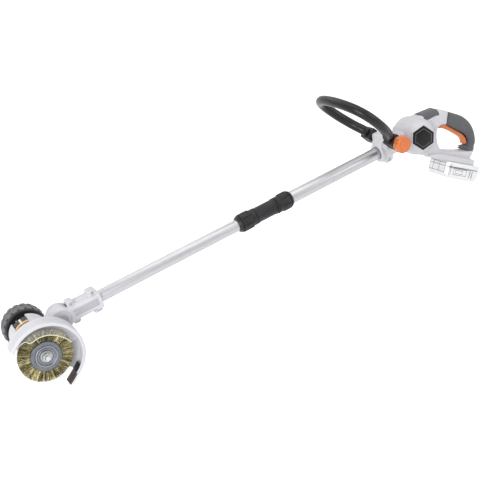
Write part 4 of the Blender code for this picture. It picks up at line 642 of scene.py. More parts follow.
def half_of(bm, side):
    """The part of a closed mesh on one side of the middle plane, closed again."""
    seam = GAP / 2
    bmesh.ops.bisect_plane(bm, geom=bm.verts[:] + bm.edges[:] + bm.faces[:], dist=1e-7,
                           plane_co=(0, side * seam, 0), plane_no=(0, -side, 0),
                           clear_outer=True)
    rim = [edge for edge in bm.edges if edge.is_boundary]
    bmesh.ops.holes_fill(bm, edges=rim)
    return bm


def halves(whole):
    """Each side of the middle plane with its label and that half of a closed mesh."""
    mesh = bpy.data.meshes.new("source")
    whole.to_mesh(mesh)
    whole.free()
    for side, label in SIDES:
        bm = bmesh.new()
        bm.from_mesh(mesh)
        yield side, label, half_of(bm, side)
    bpy.data.meshes.remove(mesh)


def piece(name, bm, finish, body, nodes=(), smooth=SMOOTH_DEG):
    """Puts a mesh made in the tool's frame into the scene, as a piece that rides on a body."""
    bmesh.ops.recalc_face_normals(bm, faces=bm.faces)
    bm.transform(TOOL)
    mesh = bpy.data.meshes.new(name)
    bm.to_mesh(mesh)
    bm.free()
    mesh.shade_smooth()
    mesh.set_sharp_from_angle(angle=math.radians(smooth))
    obj = bpy.data.objects.new(name, mesh)
    bpy.context.scene.collection.objects.link(obj)
    mesh.materials.append(MATERIALS[finish])
    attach(obj, body)
    if nodes:
        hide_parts(*nodes)
    return obj


def dress_node(node, finish):
    """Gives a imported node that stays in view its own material."""
    slots = frame["nodes"][node].data.materials
    slots.clear()
    slots.append(MATERIALS[finish])


# Head

HOOD_R = 0.0780
HOOD_WALL = 0.0026
HOOD_START_DEG = -57.0
HOOD_END_DEG = 141.0
HOOD_LIP_R = 0.0700
LUG_R = 0.0255
PIVOT_PIN_R = 0.0050
PIVOT_BORE = PIVOT_PIN_R + 0.0005
LUG_HALF = 0.0100
HOUSING_R = 0.0420
HOUSING_WALL = 0.0026
WINDOW_DEG = (79.0, 127.0)
WINDOW_Y = (0.0130, 0.0650)
BAND_Y = (0.0335, 0.0415)
VISOR_INNER_R = 0.0500
VISOR_START_DEG = 9.0
VISOR_END_DEG = 131.0
VISOR_R = HOOD_R - HOOD_WALL - GAP
VISOR_LINE_R = 0.00095
SADDLE_DEG = (2, 74)
SADDLE_Y = (-0.0230, 0.0400)
VENTS_DEG = range(150, 330, 12)
VENT_Y = 0.022
VENT_HALF = (0.0035, 0.017, 0.0008)
CAP_RIBS = 8
CAP_SCREWS = 4
CAP_SCREW_TURN = 0.39
HOOD_STEP = 0.0008
HOOD_MARKS_DEG = ((47, 58), (60, 73))
HOOD_HOLE_DEG = 72.0
HOOD_SCREW_DEG = -20
HOOD_SCREW_R = 0.058
SPINDLE_BORE = 0.0053
SPINDLE_HOLE = 0.0065
FLAP_THICK = 0.0035
FLAP_DROP = 0.027
FLAP_HOLD = 0.014
FLAP_LEAN_DEG = 3.0
FLAP_GROOVES = 5
FLAP_GROOVE_PITCH = 0.0036
CLIP_TEETH = 4
CLIP_TOOTH_PITCH_DEG = 3.3
CAN_WALL = 0.0025
CAN_SLOTS_DEG = (85, 90, 111, 117, 123)
STRIP_DEG = (98, 104.5)


def make_housing():
    front, end = node_box("hood")[1].y + GAP, node_box("housing_cap")[0].y - GAP
    inner, floor_y = HOUSING_R - HOUSING_WALL, front + 0.008
    bore = node_box("spindle_bearing")[1].z - SPINDLE.z + GAP
    outer = filleted([(SPINDLE_HOLE, front), (HOUSING_R - 0.001, front),
                      (HOUSING_R, front + 0.001), (HOUSING_R, end), (inner, end),
                      (inner, floor_y), (bore, floor_y),
                      (bore, front + 0.002), (SPINDLE_HOLE, front + 0.002)], 0.0012, 3)
    drum = turned(outer, 96)
    reach = Vector((-SPINDLE.x, -SPINDLE.z)).normalized()
    side = Vector((-reach.y, reach.x)) * 0.024
    root = Vector((SPINDLE.x, SPINDLE.z)) + reach * HOUSING_R * 0.72
    arm = arc(0, 0, LUG_R, -75, 125, 36) + [tuple(root + side), tuple(root - side)]
    lug = slab(arm, -LUG_HALF, LUG_HALF, 0.0018, 3)
    saddle_line = arc(SPINDLE.x, SPINDLE.z, HOUSING_R + 0.0030, *SADDLE_DEG, 18)
    saddle_line += arc(SPINDLE.x, SPINDLE.z, HOUSING_R - 0.0022, *SADDLE_DEG[::-1], 18)
    saddle = slab(saddle_line, *SADDLE_Y, 0.0012, 3)
    cuts = [rod("Y", SPINDLE, inner, floor_y, end + 0.01, 96),
            rod("Y", ORIGIN, PIVOT_BORE, *THROUGH),
            sector(rectangle(inner - 0.004, HOUSING_R + 0.01, *WINDOW_Y), SPINDLE, *WINDOW_DEG,
                   20),
            ring_cut(LUG_R, 0.0013, 0.0042, 0.0009, 55, 106, ORIGIN),
            ring_cut(LUG_R, 0.0013, 0.0070, 0.0030, 104, 108, ORIGIN),
            ring_cut(HOUSING_R + 0.003, 0.0013, 0.0150, 0.0009, 30, 73.5, SPINDLE),
            ring_cut(HOUSING_R, 0.0008, end - 0.0045, 0.0006, 125, 362, SPINDLE)]
    for degrees in VENTS_DEG:
        angle = math.radians(degrees)
        spot = Vector(on_axis("Y", SPINDLE, HOUSING_R + 0.0002, angle, VENT_Y))
        vent = block([-half for half in VENT_HALF], VENT_HALF, 0.0006, 2)
        cuts.append(moved(vent, Matrix.Translation(spot) @ Matrix.Rotation(-angle, 4, "Y")))
    whole = combined(drum, [lug, saddle], cuts)
    piece("housing_shell", moulded(whole, 0.0007, 3, 0.30), "casing", "head", ["motor_housing"])


def make_cap():
    low, high = node_box("housing_cap")
    face = low.y + 0.0045
    disc = turned(filleted(
        [(SPINDLE_BORE, low.y), (HOUSING_R, low.y), (HOUSING_R, low.y + 0.0028, 0.001),
         (HOUSING_R - 0.004, face), (0.0165, face), (0.0130, low.y + 0.010), (0.0125, high.y),
         (SPINDLE_BORE, high.y)], 0.0012, 4), 96)
    ribs, holes, heads = [], [], []
    for index in range(CAP_RIBS):
        rib = block((0.0135, low.y + 0.0035, -0.0011), (HOUSING_R - 0.006, low.y + 0.0095, 0.0011),
                    0.0008, 2)
        ribs.append(moved(rib, round_spindle(2 * math.pi * (index + 0.5) / CAP_RIBS)))
    for index in range(CAP_SCREWS):
        angle = 2 * math.pi * (index + 0.5) / CAP_SCREWS + CAP_SCREW_TURN
        x, y, z = on_axis("Y", SPINDLE, HOUSING_R - 0.0065, angle, low.y + 0.0024)
        holes.append(rod("Y", (x, 0, z), 0.0032, y - 0.0002, 0.1, 20))
        heads.append(screw_head((x, y, z), 0.0027, 0.0014, 1))
    notch = sector(rectangle(HOUSING_R - 0.008, HOUSING_R + 0.01, low.y - 0.001, face),
                   SPINDLE, *WINDOW_DEG, 20)
    piece("cap_shell", combined(disc, ribs, holes + [notch]), "casing", "head", ["housing_cap"])
    piece("cap_screws", merged(*heads), "steel", "head")


def make_hood():
    low, high = node_box("hood")
    front, back = low.y, high.y
    inner = HOOD_R - HOOD_WALL
    profile = filleted(
        [(0.020, back), (HOOD_R - 0.0020, back), (HOOD_R, back - 0.0020, 0.0010),
         (HOOD_R, back - 0.0070, 0.0004), (HOOD_R - HOOD_STEP, back - 0.0076, 0.0004),
         (HOOD_R - HOOD_STEP, front, 0.0030), (HOOD_LIP_R, front, 0.0008),
         (HOOD_LIP_R, front + HOOD_WALL, 0.0008), (inner, front + HOOD_WALL, 0.0025),
         (inner, back - HOOD_WALL, 0.005), (0.020, back - HOOD_WALL)], 0.0012, 5)
    shell = sector(profile, SPINDLE, HOOD_START_DEG, HOOD_END_DEG, 110)
    cuts = [ring_cut(HOOD_R - HOOD_STEP, 0.0006, back - 0.0125, 0.0004, start, end, SPINDLE)
            for start, end in HOOD_MARKS_DEG]
    to_hole = round_spindle(math.radians(HOOD_HOLE_DEG))
    to_hole @= Matrix.Translation((0, back - 0.0012, 0))
    screw_spot = on_axis("Y", SPINDLE, HOOD_SCREW_R, math.radians(HOOD_SCREW_DEG), 0)
    cuts += [moved(rod("X", ORIGIN, 0.0013, HOOD_R - 0.0020, HOOD_R + 0.004, 16), to_hole),
             rod("Y", screw_spot, 0.0030, back - 0.0010, back + 0.01, 20)]
    piece("hood_shell", combined(shell, [], cuts), "casing", "head", ["hood"], smooth=40)


def visor_sill():
    """The visor's inner edge as (x, z) points, with a step near its end."""
    step_r = VISOR_INNER_R + (VISOR_R - VISOR_INNER_R) * 0.478
    sill = [(VISOR_INNER_R + 0.005, VISOR_START_DEG), (VISOR_INNER_R, 40), (VISOR_INNER_R, 90),
            (VISOR_INNER_R + 0.001, 110), (step_r, 116),
            (step_r + (VISOR_R - step_r) * 0.458, VISOR_END_DEG)]
    return [on_axis("Y", SPINDLE, r, math.radians(a), 0)[::2] for r, a in curve_through(sill, 10)]


def make_visor():
    low, high = node_box("visor")
    line = visor_sill()
    outline = line + arc(SPINDLE.x, SPINDLE.z, VISOR_R, VISOR_END_DEG, VISOR_START_DEG, 60)
    piece("visor_sheet", slab(outline, low.y + 0.0001, high.y - 0.0001, 0.0003, 2), "clear",
          "head", ["visor"])
    edge = [(x, (low.y + high.y) / 2, z) for x, z in line]
    # The sill's cream colour is a painted glint along the clear visor's edge.
    piece("visor_sill", sweep(edge, VISOR_LINE_R, 8, up=Vector((0, 1, 0))), "sill", "head")


def make_flap():
    low, high = node_box("flap")
    inside = VISOR_R - FLAP_THICK
    hold_deg = math.degrees(FLAP_HOLD / VISOR_R)
    heading = math.radians(HOOD_START_DEG - 90 + FLAP_LEAN_DEG)
    along = Vector((math.cos(heading), math.sin(heading)))
    outer, inner = (arc(SPINDLE.x, SPINDLE.z, radius, HOOD_START_DEG + hold_deg,
                        HOOD_START_DEG, 8) for radius in (VISOR_R, inside))
    tips = [tuple(Vector(line[-1]) + along * FLAP_DROP) for line in (outer, inner)]
    sheet = filleted(outer + tips + list(reversed(inner)), 0.0006, 2)
    inward = Vector((-along.y, along.x))
    if inward.dot(Vector((SPINDLE.x, SPINDLE.z)) - Vector(tips[1])) < 0:
        inward = -inward
    grooves = []
    for index in range(FLAP_GROOVES):
        spot = Vector(tips[1]) - along * (0.004 + FLAP_GROOVE_PITCH * index)
        corners = [spot + along * a + inward * b for a, b in
                   ((-0.0004, 0.0006), (0.0004, 0.0006), (0.0002, -0.0005), (-0.0002, -0.0005))]
        grooves.append(slab([tuple(c) for c in corners], low.y - 0.001, high.y + 0.001))
    piece("flap_sheet", combined(slab(sheet, low.y, high.y, 0.0004, 2), [], grooves), "rubber",
          "head", ["flap"])
    clip = sector(filleted(rectangle(inside - 0.0018, inside - 0.0001, low.y + 0.0008,
                                     high.y - 0.0006), 0.0005, 2),
                  SPINDLE, HOOD_START_DEG + 1.0, HOOD_START_DEG + hold_deg + 4.0, 12)
    teeth = []
    for index in range(CLIP_TEETH):
        start = HOOD_START_DEG + 2.6 + CLIP_TOOTH_PITCH_DEG * index
        teeth.append(sector(rectangle(inside - 0.004, inside + 0.001, high.y - 0.0042,
                                      high.y + 0.001), SPINDLE, start, start + 1.3, 2))
    piece("flap_clip", combined(clip, [], teeth), "black", "head")


def make_motor():
    low, high = node_box("motor_can")
    radius = high.z - SPINDLE.z
    can = filleted([(SPINDLE_HOLE, high.y), (radius, high.y), (radius, low.y),
                    (radius - CAN_WALL, low.y), (radius - CAN_WALL, high.y - CAN_WALL),
                    (SPINDLE_HOLE, high.y - CAN_WALL)], 0.0008, 3)
    slot = rectangle(radius - 0.0012, radius + 0.001, low.y + 0.004, high.y - 0.008)
    slots = [sector(slot, SPINDLE, degrees - 0.9, degrees + 0.9, 3)
             for degrees in CAN_SLOTS_DEG]
    piece("motor_can_skin", combined(turned(can, 96), [], slots), "motor", "head", ["motor_can"])
    strip = sector(rectangle(radius - 0.0005, radius + 0.0008, low.y + 0.001, high.y - 0.004),
                   SPINDLE, *STRIP_DEG, 6)
    nicks = [ring_cut(radius + 0.0008, 0.0012, y, 0.0012, 99.5, 103, SPINDLE)
             for y in (low.y + 0.007, low.y + 0.0125)]
    piece("motor_strip", combined(strip, [], nicks), "sill", "head")
    dress_node("ring_gear", "amber")
    rim = HOUSING_R - HOUSING_WALL - GAP
    skin = filleted(rectangle(rim - 0.0015, rim, *BAND_Y), 0.0003, 2)
    piece("ring_gear_band", turned(skin, 96), "amber", "head")


# Brush

WIRE_COUNT = 3900
TUFTS = 150
TUFT_SPREAD = 0.60
TUFT_TONE_SHARE = 0.62
WIRE_R = 0.00023
WIRE_STEPS = 6
WIRE_ROOT = 0.0300
CORE_R = 0.0500
CORE_HUB_R = 0.0095
BRUSH_R = 0.0575
DISC_R = 0.0326
THREAD_R = 0.0050
THREAD_PITCH = 0.0012
THREAD_DEPTH = 0.00035
THREAD_STEPS = 44


def make_brush():
    low, high = node_box("brush_wire")
    middle, half = (low.y + high.y) / 2, (high.y - low.y) / 2
    rng = random.Random(7)
    # Each wire takes the plain copy, the painted glint copy or the painted shade copy, tuft by
    # tuft.
    tones = ("wire", "wire_light", "wire_dark")
    meshes = {tone: bmesh.new() for tone in tones}
    tufts = [rng.choice(tones) for _ in range(TUFTS)]
    for index in range(WIRE_COUNT):
        tuft = rng.randrange(TUFTS)
        tone = tufts[tuft] if rng.random() < TUFT_TONE_SHARE else rng.choice(tones)
        bm = meshes[tone]
        angle = 2 * math.pi * (tuft + rng.gauss(0.5, TUFT_SPREAD)) / TUFTS
        layer = 2 * ((index + rng.random()) / WIRE_COUNT) - 1
        layer = math.copysign(abs(layer) ** 0.6, layer)
        start_y = middle + half * 0.95 * layer
        end_y = middle + half * 1.10 * layer + rng.uniform(-0.0008, 0.0008)
        lean = rng.uniform(-0.05, 0.05)
        length = BRUSH_R - abs(rng.gauss(0, 0.0009)) - 0.0006 * abs(layer)
        waves, phase = rng.uniform(5.0, 7.5), rng.uniform(0, 2 * math.pi)
        twist, swing = rng.uniform(0, 2 * math.pi), rng.uniform(0.0004, 0.0010)
        rings = []
        for step in range(WIRE_STEPS + 1):
            part = step / WIRE_STEPS
            r = WIRE_ROOT + (length - WIRE_ROOT) * part
            bend = swing * math.sin(waves * part * 2 + phase) * min(1.0, part * 3)
            a = angle + lean * part + bend * math.cos(twist) / r
            y = start_y + (end_y - start_y) * part + bend * math.sin(twist)
            ring = []
            for corner in range(3):
                turn = twist + 2 * math.pi * corner / 3
                x, _, z = on_axis("Y", SPINDLE, r, a, 0)
                ring.append(bm.verts.new((x - WIRE_R * math.cos(turn) * math.sin(a),
                                          y + WIRE_R * math.sin(turn),
                                          z + WIRE_R * math.cos(turn) * math.cos(a))))
            rings.append(ring)
        for ring, other in zip(rings, rings[1:]):
            bridge(bm, ring, other)
        bm.faces.new(rings[-1])
    for tone, nodes in zip(tones, (["brush_wire"], (), ())):
        piece(tone.replace("wire", "brush_wires"), meshes[tone], tone, "brush", nodes, smooth=60)

    def packed(angle, r, _):
        if r < CORE_R - 0.004:
            return r
        return r + 0.0009 * math.sin(angle * 61) * math.sin(angle * 37 + 1.0)

    # The core's dark colour is painted shade between the packed wires.
    rows = [(CORE_HUB_R, -0.85), (WIRE_ROOT + 0.002, -0.80), (CORE_R, -0.45), (CORE_R, 0.45),
            (WIRE_ROOT + 0.002, 0.80), (CORE_HUB_R, 0.85)]
    core = lathe([(r, middle + half * share) for r, share in rows], "Y", SPINDLE, 180, packed)
    piece("brush_core", core, "wire_core", "brush")


def make_discs():
    low, high = node_box("brush_disc_front")
    bore, edge, face = SPINDLE_BORE, DISC_R, high.y
    profile = filleted(set_off(
        [(bore, 0), (edge - 0.0003, 0), (edge, -0.0006, 0.0004), (edge - 0.0016, -0.0026),
         (0.0240, -0.0030), (0.0231, -0.0024), (0.0205, -0.0022), (0.0186, -0.0012),
         (0.0150, -0.0010), (bore, -0.0010)], face), 0.0006, 4)
    piece("disc_front", turned(profile, 120), "zinc", "brush", ["brush_disc_front"])
    bead = filleted(set_off([(0.0202, -0.0020), (0.0206, -0.0042), (0.0226, -0.0042),
                             (0.0234, -0.0020)], face), 0.0008, 4)
    small = filleted(set_off([(0.0150, -0.0008), (0.0152, -0.0022), (0.0166, -0.0022),
                              (0.0170, -0.0008)], face), 0.0005, 3)
    piece("disc_beads", merged(turned(bead, 120), turned(small, 120)), "dark_steel", "brush")
    low, high = node_box("brush_disc_rear")
    profile = filleted([(bore, low.y), (edge - 0.0004, low.y), (edge, low.y + 0.0008),
                        (edge - 0.002, high.y), (0.0200, high.y), (0.0180, high.y - 0.0004),
                        (bore, high.y - 0.0004)], 0.0005, 3)
    piece("disc_rear", turned(profile, 120), "zinc", "brush", ["brush_disc_rear"])
    low, high = node_box("flange_nut")
    flange = filleted(set_off([(bore, 0), (0.0130, 0), (0.0130, -0.0012, 0.0006),
                               (0.0100, -0.0020), (bore, -0.0020)], high.y), 0.0003, 3)
    piece("spindle_washer", turned(flange, 72), "dark_steel", "brush")
    corners = []
    for level, reach in ((low.y, 0.0082), (low.y + 0.0012, 0.0095), (high.y - 0.0015, 0.0095)):
        corners.append([(x, level, z) for x, z in arc(SPINDLE.x, SPINDLE.z, reach, 12, 312, 5)])
    cuts = [rod("Y", SPINDLE, bore, low.y - 0.01, high.y + 0.01, 48),
            turned([(0, low.y - 0.001), (0.0068, low.y - 0.001), (bore, low.y + 0.0010),
                    (0, low.y + 0.0010)], 48)]
    piece("spindle_nut", combined(lofted(corners, flip=True), [], cuts), "steel", "brush",
          ["flange_nut"], smooth=28)


def make_spindle():
    tip = node_box("spindle")[0].y + 0.0022
    start, end = tip + 0.0009, tip + 0.0125

    def thread(angle, r, along):
        if r < 0.0035:
            return r
        turns = (along - tip) / THREAD_PITCH + angle / (2 * math.pi)
        return r - THREAD_DEPTH + THREAD_DEPTH * math.cos(2 * math.pi * turns)

    profile = [(0, tip), (0.0016, tip), (0.0030, tip + 0.0012), (0.0040, tip + 0.0002)]
    profile += [(THREAD_R, start + (end - start) * k / THREAD_STEPS)
                for k in range(THREAD_STEPS + 1)]
    profile += [(0, end)]
    piece("spindle_thread", lathe(profile, "Y", SPINDLE, 40, thread), "dark_steel", "brush",
          smooth=50)


# Guide wheel

WHEEL_R = 0.0483
TREAD_BLOCKS = 18
TREAD_DEPTH = 0.0026
RIM_WALL = 0.0030
SPOKES = 6


def tread_block(centre, outer_end, inner_end, middle, base):
    """One slanted block of the tyre's tread, lower at the tyre's shoulder."""
    rows = []
    for reach, shrink in ((base - 0.0015, 1.0), (WHEEL_R - 0.0005, 0.96), (WHEEL_R, 0.90)):
        level = []
        for y, spread, twist in ((outer_end, 0.62, -0.16), (inner_end, 0.46, 0.16)):
            drop = 0.0022 if y == outer_end and reach > base else 0.0
            for sign in (-1, 1):
                turn = centre + (sign * spread / 2 * shrink + twist) * 2 * math.pi / TREAD_BLOCKS
                level.append(on_axis("Y", SPINDLE, reach - drop, turn,
                                     y + (middle - y) * (1 - shrink) * 0.5))
        rows.append([level[0], level[1], level[3], level[2]])
    bm = lofted(rows)
    bmesh.ops.recalc_face_normals(bm, faces=bm.faces)
    return bm


def make_wheel():
    low, high = node_box("tyre")
    near, far = low.y, high.y
    inner = node_box("wheel_rim")[1].z - SPINDLE.z + GAP
    middle, base = (near + far) / 2, WHEEL_R - TREAD_DEPTH
    profile = filleted([(inner, near + 0.0005), (base - 0.0035, near), (base, near + 0.005),
                        (base, far - 0.005), (base - 0.0035, far), (inner, far - 0.0005)],
                       0.0020, 4)
    piece("tyre_body", turned(profile, 144), "tyre", "guide_wheel", ["tyre"])
    band = filleted([(base - 0.001, near + 0.0052), (base + 0.0004, near + 0.0056),
                     (base + 0.0004, far - 0.0056), (base - 0.001, far - 0.0052)], 0.0003, 2)
    blocks = [turned(band, 144)]
    for row, (outer_end, inner_end) in enumerate(((near + 0.0012, middle - 0.0014),
                                                  (far - 0.0012, middle + 0.0014))):
        for index in range(TREAD_BLOCKS):
            centre = 2 * math.pi * (index + 0.5 * row) / TREAD_BLOCKS
            blocks.append(tread_block(centre, outer_end, inner_end, middle, base))
    # Painted light: the tread blocks are lighter than the tyre's body.
    piece("tyre_blocks", merged(*blocks), "tread", "guide_wheel", smooth=20)
    rim_r = inner - GAP
    within = rim_r - RIM_WALL
    disc, back = near + 0.0080, far - 0.009
    profile = filleted(
        set_off([(0.0055, 0.002), (0.0110, 0.002), (0.0120, 0.0080), (within, 0.0080),
                 (within, 0.001), (rim_r, 0.001)], near)
        + set_off([(rim_r, -0.001), (within, -0.001), (within, -0.009), (0.0120, -0.009),
                   (0.0110, -0.006), (0.0055, -0.006)], far), 0.0008, 3)
    spokes, dents = [], []
    for index in range(SPOKES):
        turn = round_spindle(2 * math.pi * index / SPOKES)
        dent = filleted([(0.0175, -0.0045), (0.0310, -0.0095), (0.0325, 0.0), (0.0310, 0.0095),
                         (0.0175, 0.0045)], 0.0025, 4)
        for face, toward in ((disc, -1), (back, 1)):
            low_y, high_y = sorted((face - toward * 0.0012, face + toward * 0.004))
            dents.append(moved(slab(dent, low_y, high_y), turn.copy()))
        spoke = block((0.0100, disc - 0.003, -0.0013), (rim_r - 0.002, far - 0.006, 0.0013),
                      0.0008, 2)
        spokes.append(moved(spoke, round_spindle(2 * math.pi * (index + 0.5) / SPOKES)))
    piece("rim_shell", combined(turned(profile, 96), spokes, dents), "black",
          "guide_wheel", ["wheel_rim"])
    low, high = node_box("wheel_axle")
    bolt = slab(arc(SPINDLE.x, SPINDLE.z, 0.0078, 0, 300, 5), high.y - 0.0045,
                high.y - 0.0003, 0.0006, 2)
    washer = rectangle(0.0040, 0.0085, high.y - 0.0058, high.y - 0.0044)
    shank = rod("Y", SPINDLE, 0.0050, low.y, high.y - 0.004, 40)
    piece("axle_bolt", merged(bolt, turned(filleted(washer, 0.0004, 2), 48), shank), "steel",
          "head", ["wheel_axle"])


# Neck

NECK_BOSS_X = (0.0310, 0.0800)
NECK_BOSS_Z = 0.0202
NECK_END_X = 0.0920
NECK_BOSS_HALF = 0.0122
NECK_HALF_WIDTH = 0.0203
CHEEK_R = 0.0265
PIVOT_CAP_R = 0.0140
NECK_HALF_HEIGHT = 0.0160
NECK_RAIL_Z = 0.0172
NECK_SCREW_Y = -0.0100
NECK_BORE_R = 0.0138
NECK_BORE_X = 0.0337


def neck_solid(side):
    """One half of the neck from the middle plane out, with its bosses and bores."""
    half_height, half_width = NECK_HALF_HEIGHT, NECK_HALF_WIDTH
    rise = math.degrees(math.asin(half_height / CHEEK_R))
    outline = arc(0, 0, CHEEK_R, rise + 3, 357 - rise, 60)
    outline += [(NECK_END_X - 0.003, -half_height), (NECK_END_X, -half_height + 0.003),
                (NECK_END_X, half_height - 0.003), (NECK_END_X - 0.003, half_height)]
    body = slab(outline, 0.0, side * half_width, 0.0060, 6, both=False)
    low, high = y_span(side, 0.0, 0.0208)
    adds = [block((0.0745, low, -NECK_RAIL_Z), (NECK_END_X, high, NECK_RAIL_Z), 0.003, 4)]
    cuts = []
    for x, start, end in ((NECK_BOSS_X[0], 0.0185, 0.0375), (NECK_BOSS_X[1], 0.0660, 0.0890)):
        for z in (NECK_BOSS_Z, -NECK_BOSS_Z):
            up = 1 if z > 0 else -1
            rows = filleted([(start, z - up * 0.010), (end, z - up * 0.010),
                             (end - 0.0010, z + up * 0.0062), (start + 0.0030, z + up * 0.0062)],
                            0.0050, 6)
            adds.append(slab(rows, 0.0, side * NECK_BOSS_HALF, 0.0016, 4, both=False))
            cuts.append(rod("Y", (x, 0, z), 0.0023, *THROUGH, 24))
            if side < 0:
                cuts.append(rod("Y", (x, 0, z), 0.0046, THROUGH[0], NECK_SCREW_Y))
            else:
                cuts.append(slab(arc(x, z, 0.0040, 0, 300, 5), 0.0078, 0.02))
    for z in (NECK_RAIL_Z, -NECK_RAIL_Z):
        low, high = y_span(side, 0.0, 0.0050)
        adds.append(block((0.026, low, z - 0.0022), (0.086, high, z + 0.0022), 0.001, 2))
    ring = rectangle(0.0196, 0.0236, *y_span(side, half_width - 0.001, half_width + 0.0009))
    adds.append(lathe(filleted(ring, 0.0006, 3), "Y", ORIGIN, 72))
    cuts += [slab(neck_panel(0.0), side * (half_width - 0.0010), side * THROUGH[1]),
             rod("Y", ORIGIN, CHEEK_R + 0.004, *y_span(side, -0.01, 0.0103), 64),
             rod("X", ORIGIN, NECK_BORE_R, NECK_BORE_X, 0.2, 64),
             rod("Y", ORIGIN, PIVOT_BORE, *THROUGH)]
    return combined(body, adds, cuts)


def neck_panel(room):
    """The long rounded field on the neck's side, as (x, z) points."""
    return filleted([(0.0268 - room, -0.0072 - room), (0.0850 + room, -0.0088 - room),
                     (0.0850 + room, 0.0088 + room), (0.0268 - room, 0.0092 + room)], 0.0030, 5)


def make_neck():
    for side, name in SIDES:
        solid = half_of(moulded(neck_solid(side), 0.00055, 4, 0.30), side)
        piece(f"neck_{name}", solid, "casing", "lower_pole", [f"neck_shell_{name}"])
        face = side * (NECK_HALF_WIDTH - 0.0008)
        plate = slab(neck_panel(-0.0004), side * (NECK_HALF_WIDTH - 0.0030), face, 0.0003, 2,
                     both=False)
        dents = [block((x0, face - depth, z0), (x1, face + depth, z1), 0.0004, 2)
                 for x0, x1, z0, z1, depth in ((0.0292, 0.0325, -0.0012, 0.0036, 0.0008),
                                               (0.0335, 0.0372, 0.0014, 0.0032, 0.0004))]
        piece(f"neck_panel_{name}", combined(plate, [], dents), "recess", "lower_pole")
    spots = [(x, z) for z in (NECK_BOSS_Z, -NECK_BOSS_Z) for x in NECK_BOSS_X]
    for count, (x, z) in enumerate(spots, 1):
        node = f"clamp_screw_{count}"
        head = screw_head((x, NECK_SCREW_Y + 0.0002, z), 0.0026, 0.0012, -1)
        shank = rod("Y", (x, 0, z), 0.0020, NECK_SCREW_Y, node_box(node)[1].y, 24)
        piece(f"neck_screw_{count}", merged(head, shank), "steel", "lower_pole", [node])
    low, high = node_box("pivot_pin")
    profile = filleted(
        set_off([(0, 0.0006), (0.0090, 0.0002), (0.0128, 0, 0.0008),
                 (PIVOT_CAP_R, 0.0022, 0.0008), (PIVOT_CAP_R, 0.0032), (PIVOT_PIN_R, 0.0032)],
                low.y) + [(PIVOT_PIN_R, high.y), (0, high.y)], 0.0, 4)
    groove = lathe(rectangle(0.0098, 0.0103, low.y - 0.001, low.y + 0.0008), "Y", ORIGIN, 72)
    piece("pivot_cap", combined(lathe(profile, "Y", ORIGIN, 72), [], [groove]), "recess",
          "lower_pole", ["pivot_pin"])
    nut = slab(arc(0, 0, 0.0085, 30, 330, 5), 0.0207, high.y + 0.0011, 0.0005, 2)
    piece("pivot_nut", nut, "steel", "lower_pole")


# Pole and collar

NUT_R = 0.0212
NUT_LOBES = 8
NUT_FLUTES = 5
NUT_LOBE_DEPTH = 0.0014
NUT_FLUTE_DEPTH = 0.00022
CATCH_DEG = (162, 221)
SLEEVE_R = 0.0182
TUBE_WALL = 0.0012
CATCH_X = (0.5400, 0.5472)


def make_pole():
    for node, body in (("lower_tube", "lower_pole"), ("upper_tube", "handle_unit")):
        low, high = node_box(node)
        profile = rectangle(high.z - TUBE_WALL, high.z, low.x, high.x)
        piece(f"{node}_skin", lathe(filleted(profile, 0.0003, 2), "X", ORIGIN, 96), "tube", body,
              [node])


def clamp_nut(name, start, end, bore, flip, node, body):
    """A telescope clamp nut: broad lobes with fine flutes between them."""
    length = end - start

    def lobed(angle, r, along):
        t = (end - along) if flip else (along - start)
        if r < NUT_R - 0.0012 or t < 0.0075:
            return r
        part = (angle / (2 * math.pi) * NUT_LOBES) % 1.0
        edge = min(part, 1.0 - part)
        depth = NUT_LOBE_DEPTH * (1 - min(1.0, max(0.0, (edge - 0.045) / 0.03)))
        if edge > 0.09:
            depth += NUT_FLUTE_DEPTH * (1 + math.cos(2 * math.pi * part * NUT_FLUTES))
        return r - depth

    rows = [(0.0045, 0.0), (0.0022, 0.0035), (0.0012, 0.0060), (0.0030, 0.0064),
            (0.0030, 0.0076), (0.0006, 0.0080), (0.0, 0.0090), (0.0, length * 0.5),
            (0.0, length - 0.0125), (0.0008, length - 0.0115), (0.0022, length - 0.0105),
            (0.0022, length - 0.0005), (0.0027, length)]
    rows = [(bore, 0.0)] + [(NUT_R - drop, t) for drop, t in rows] + [(bore, length)]
    profile = [(r, end - t if flip else start + t) for r, t in rows]
    piece(name, lathe(profile, "X", ORIGIN, 320, lobed), "black", body, [node], smooth=38)


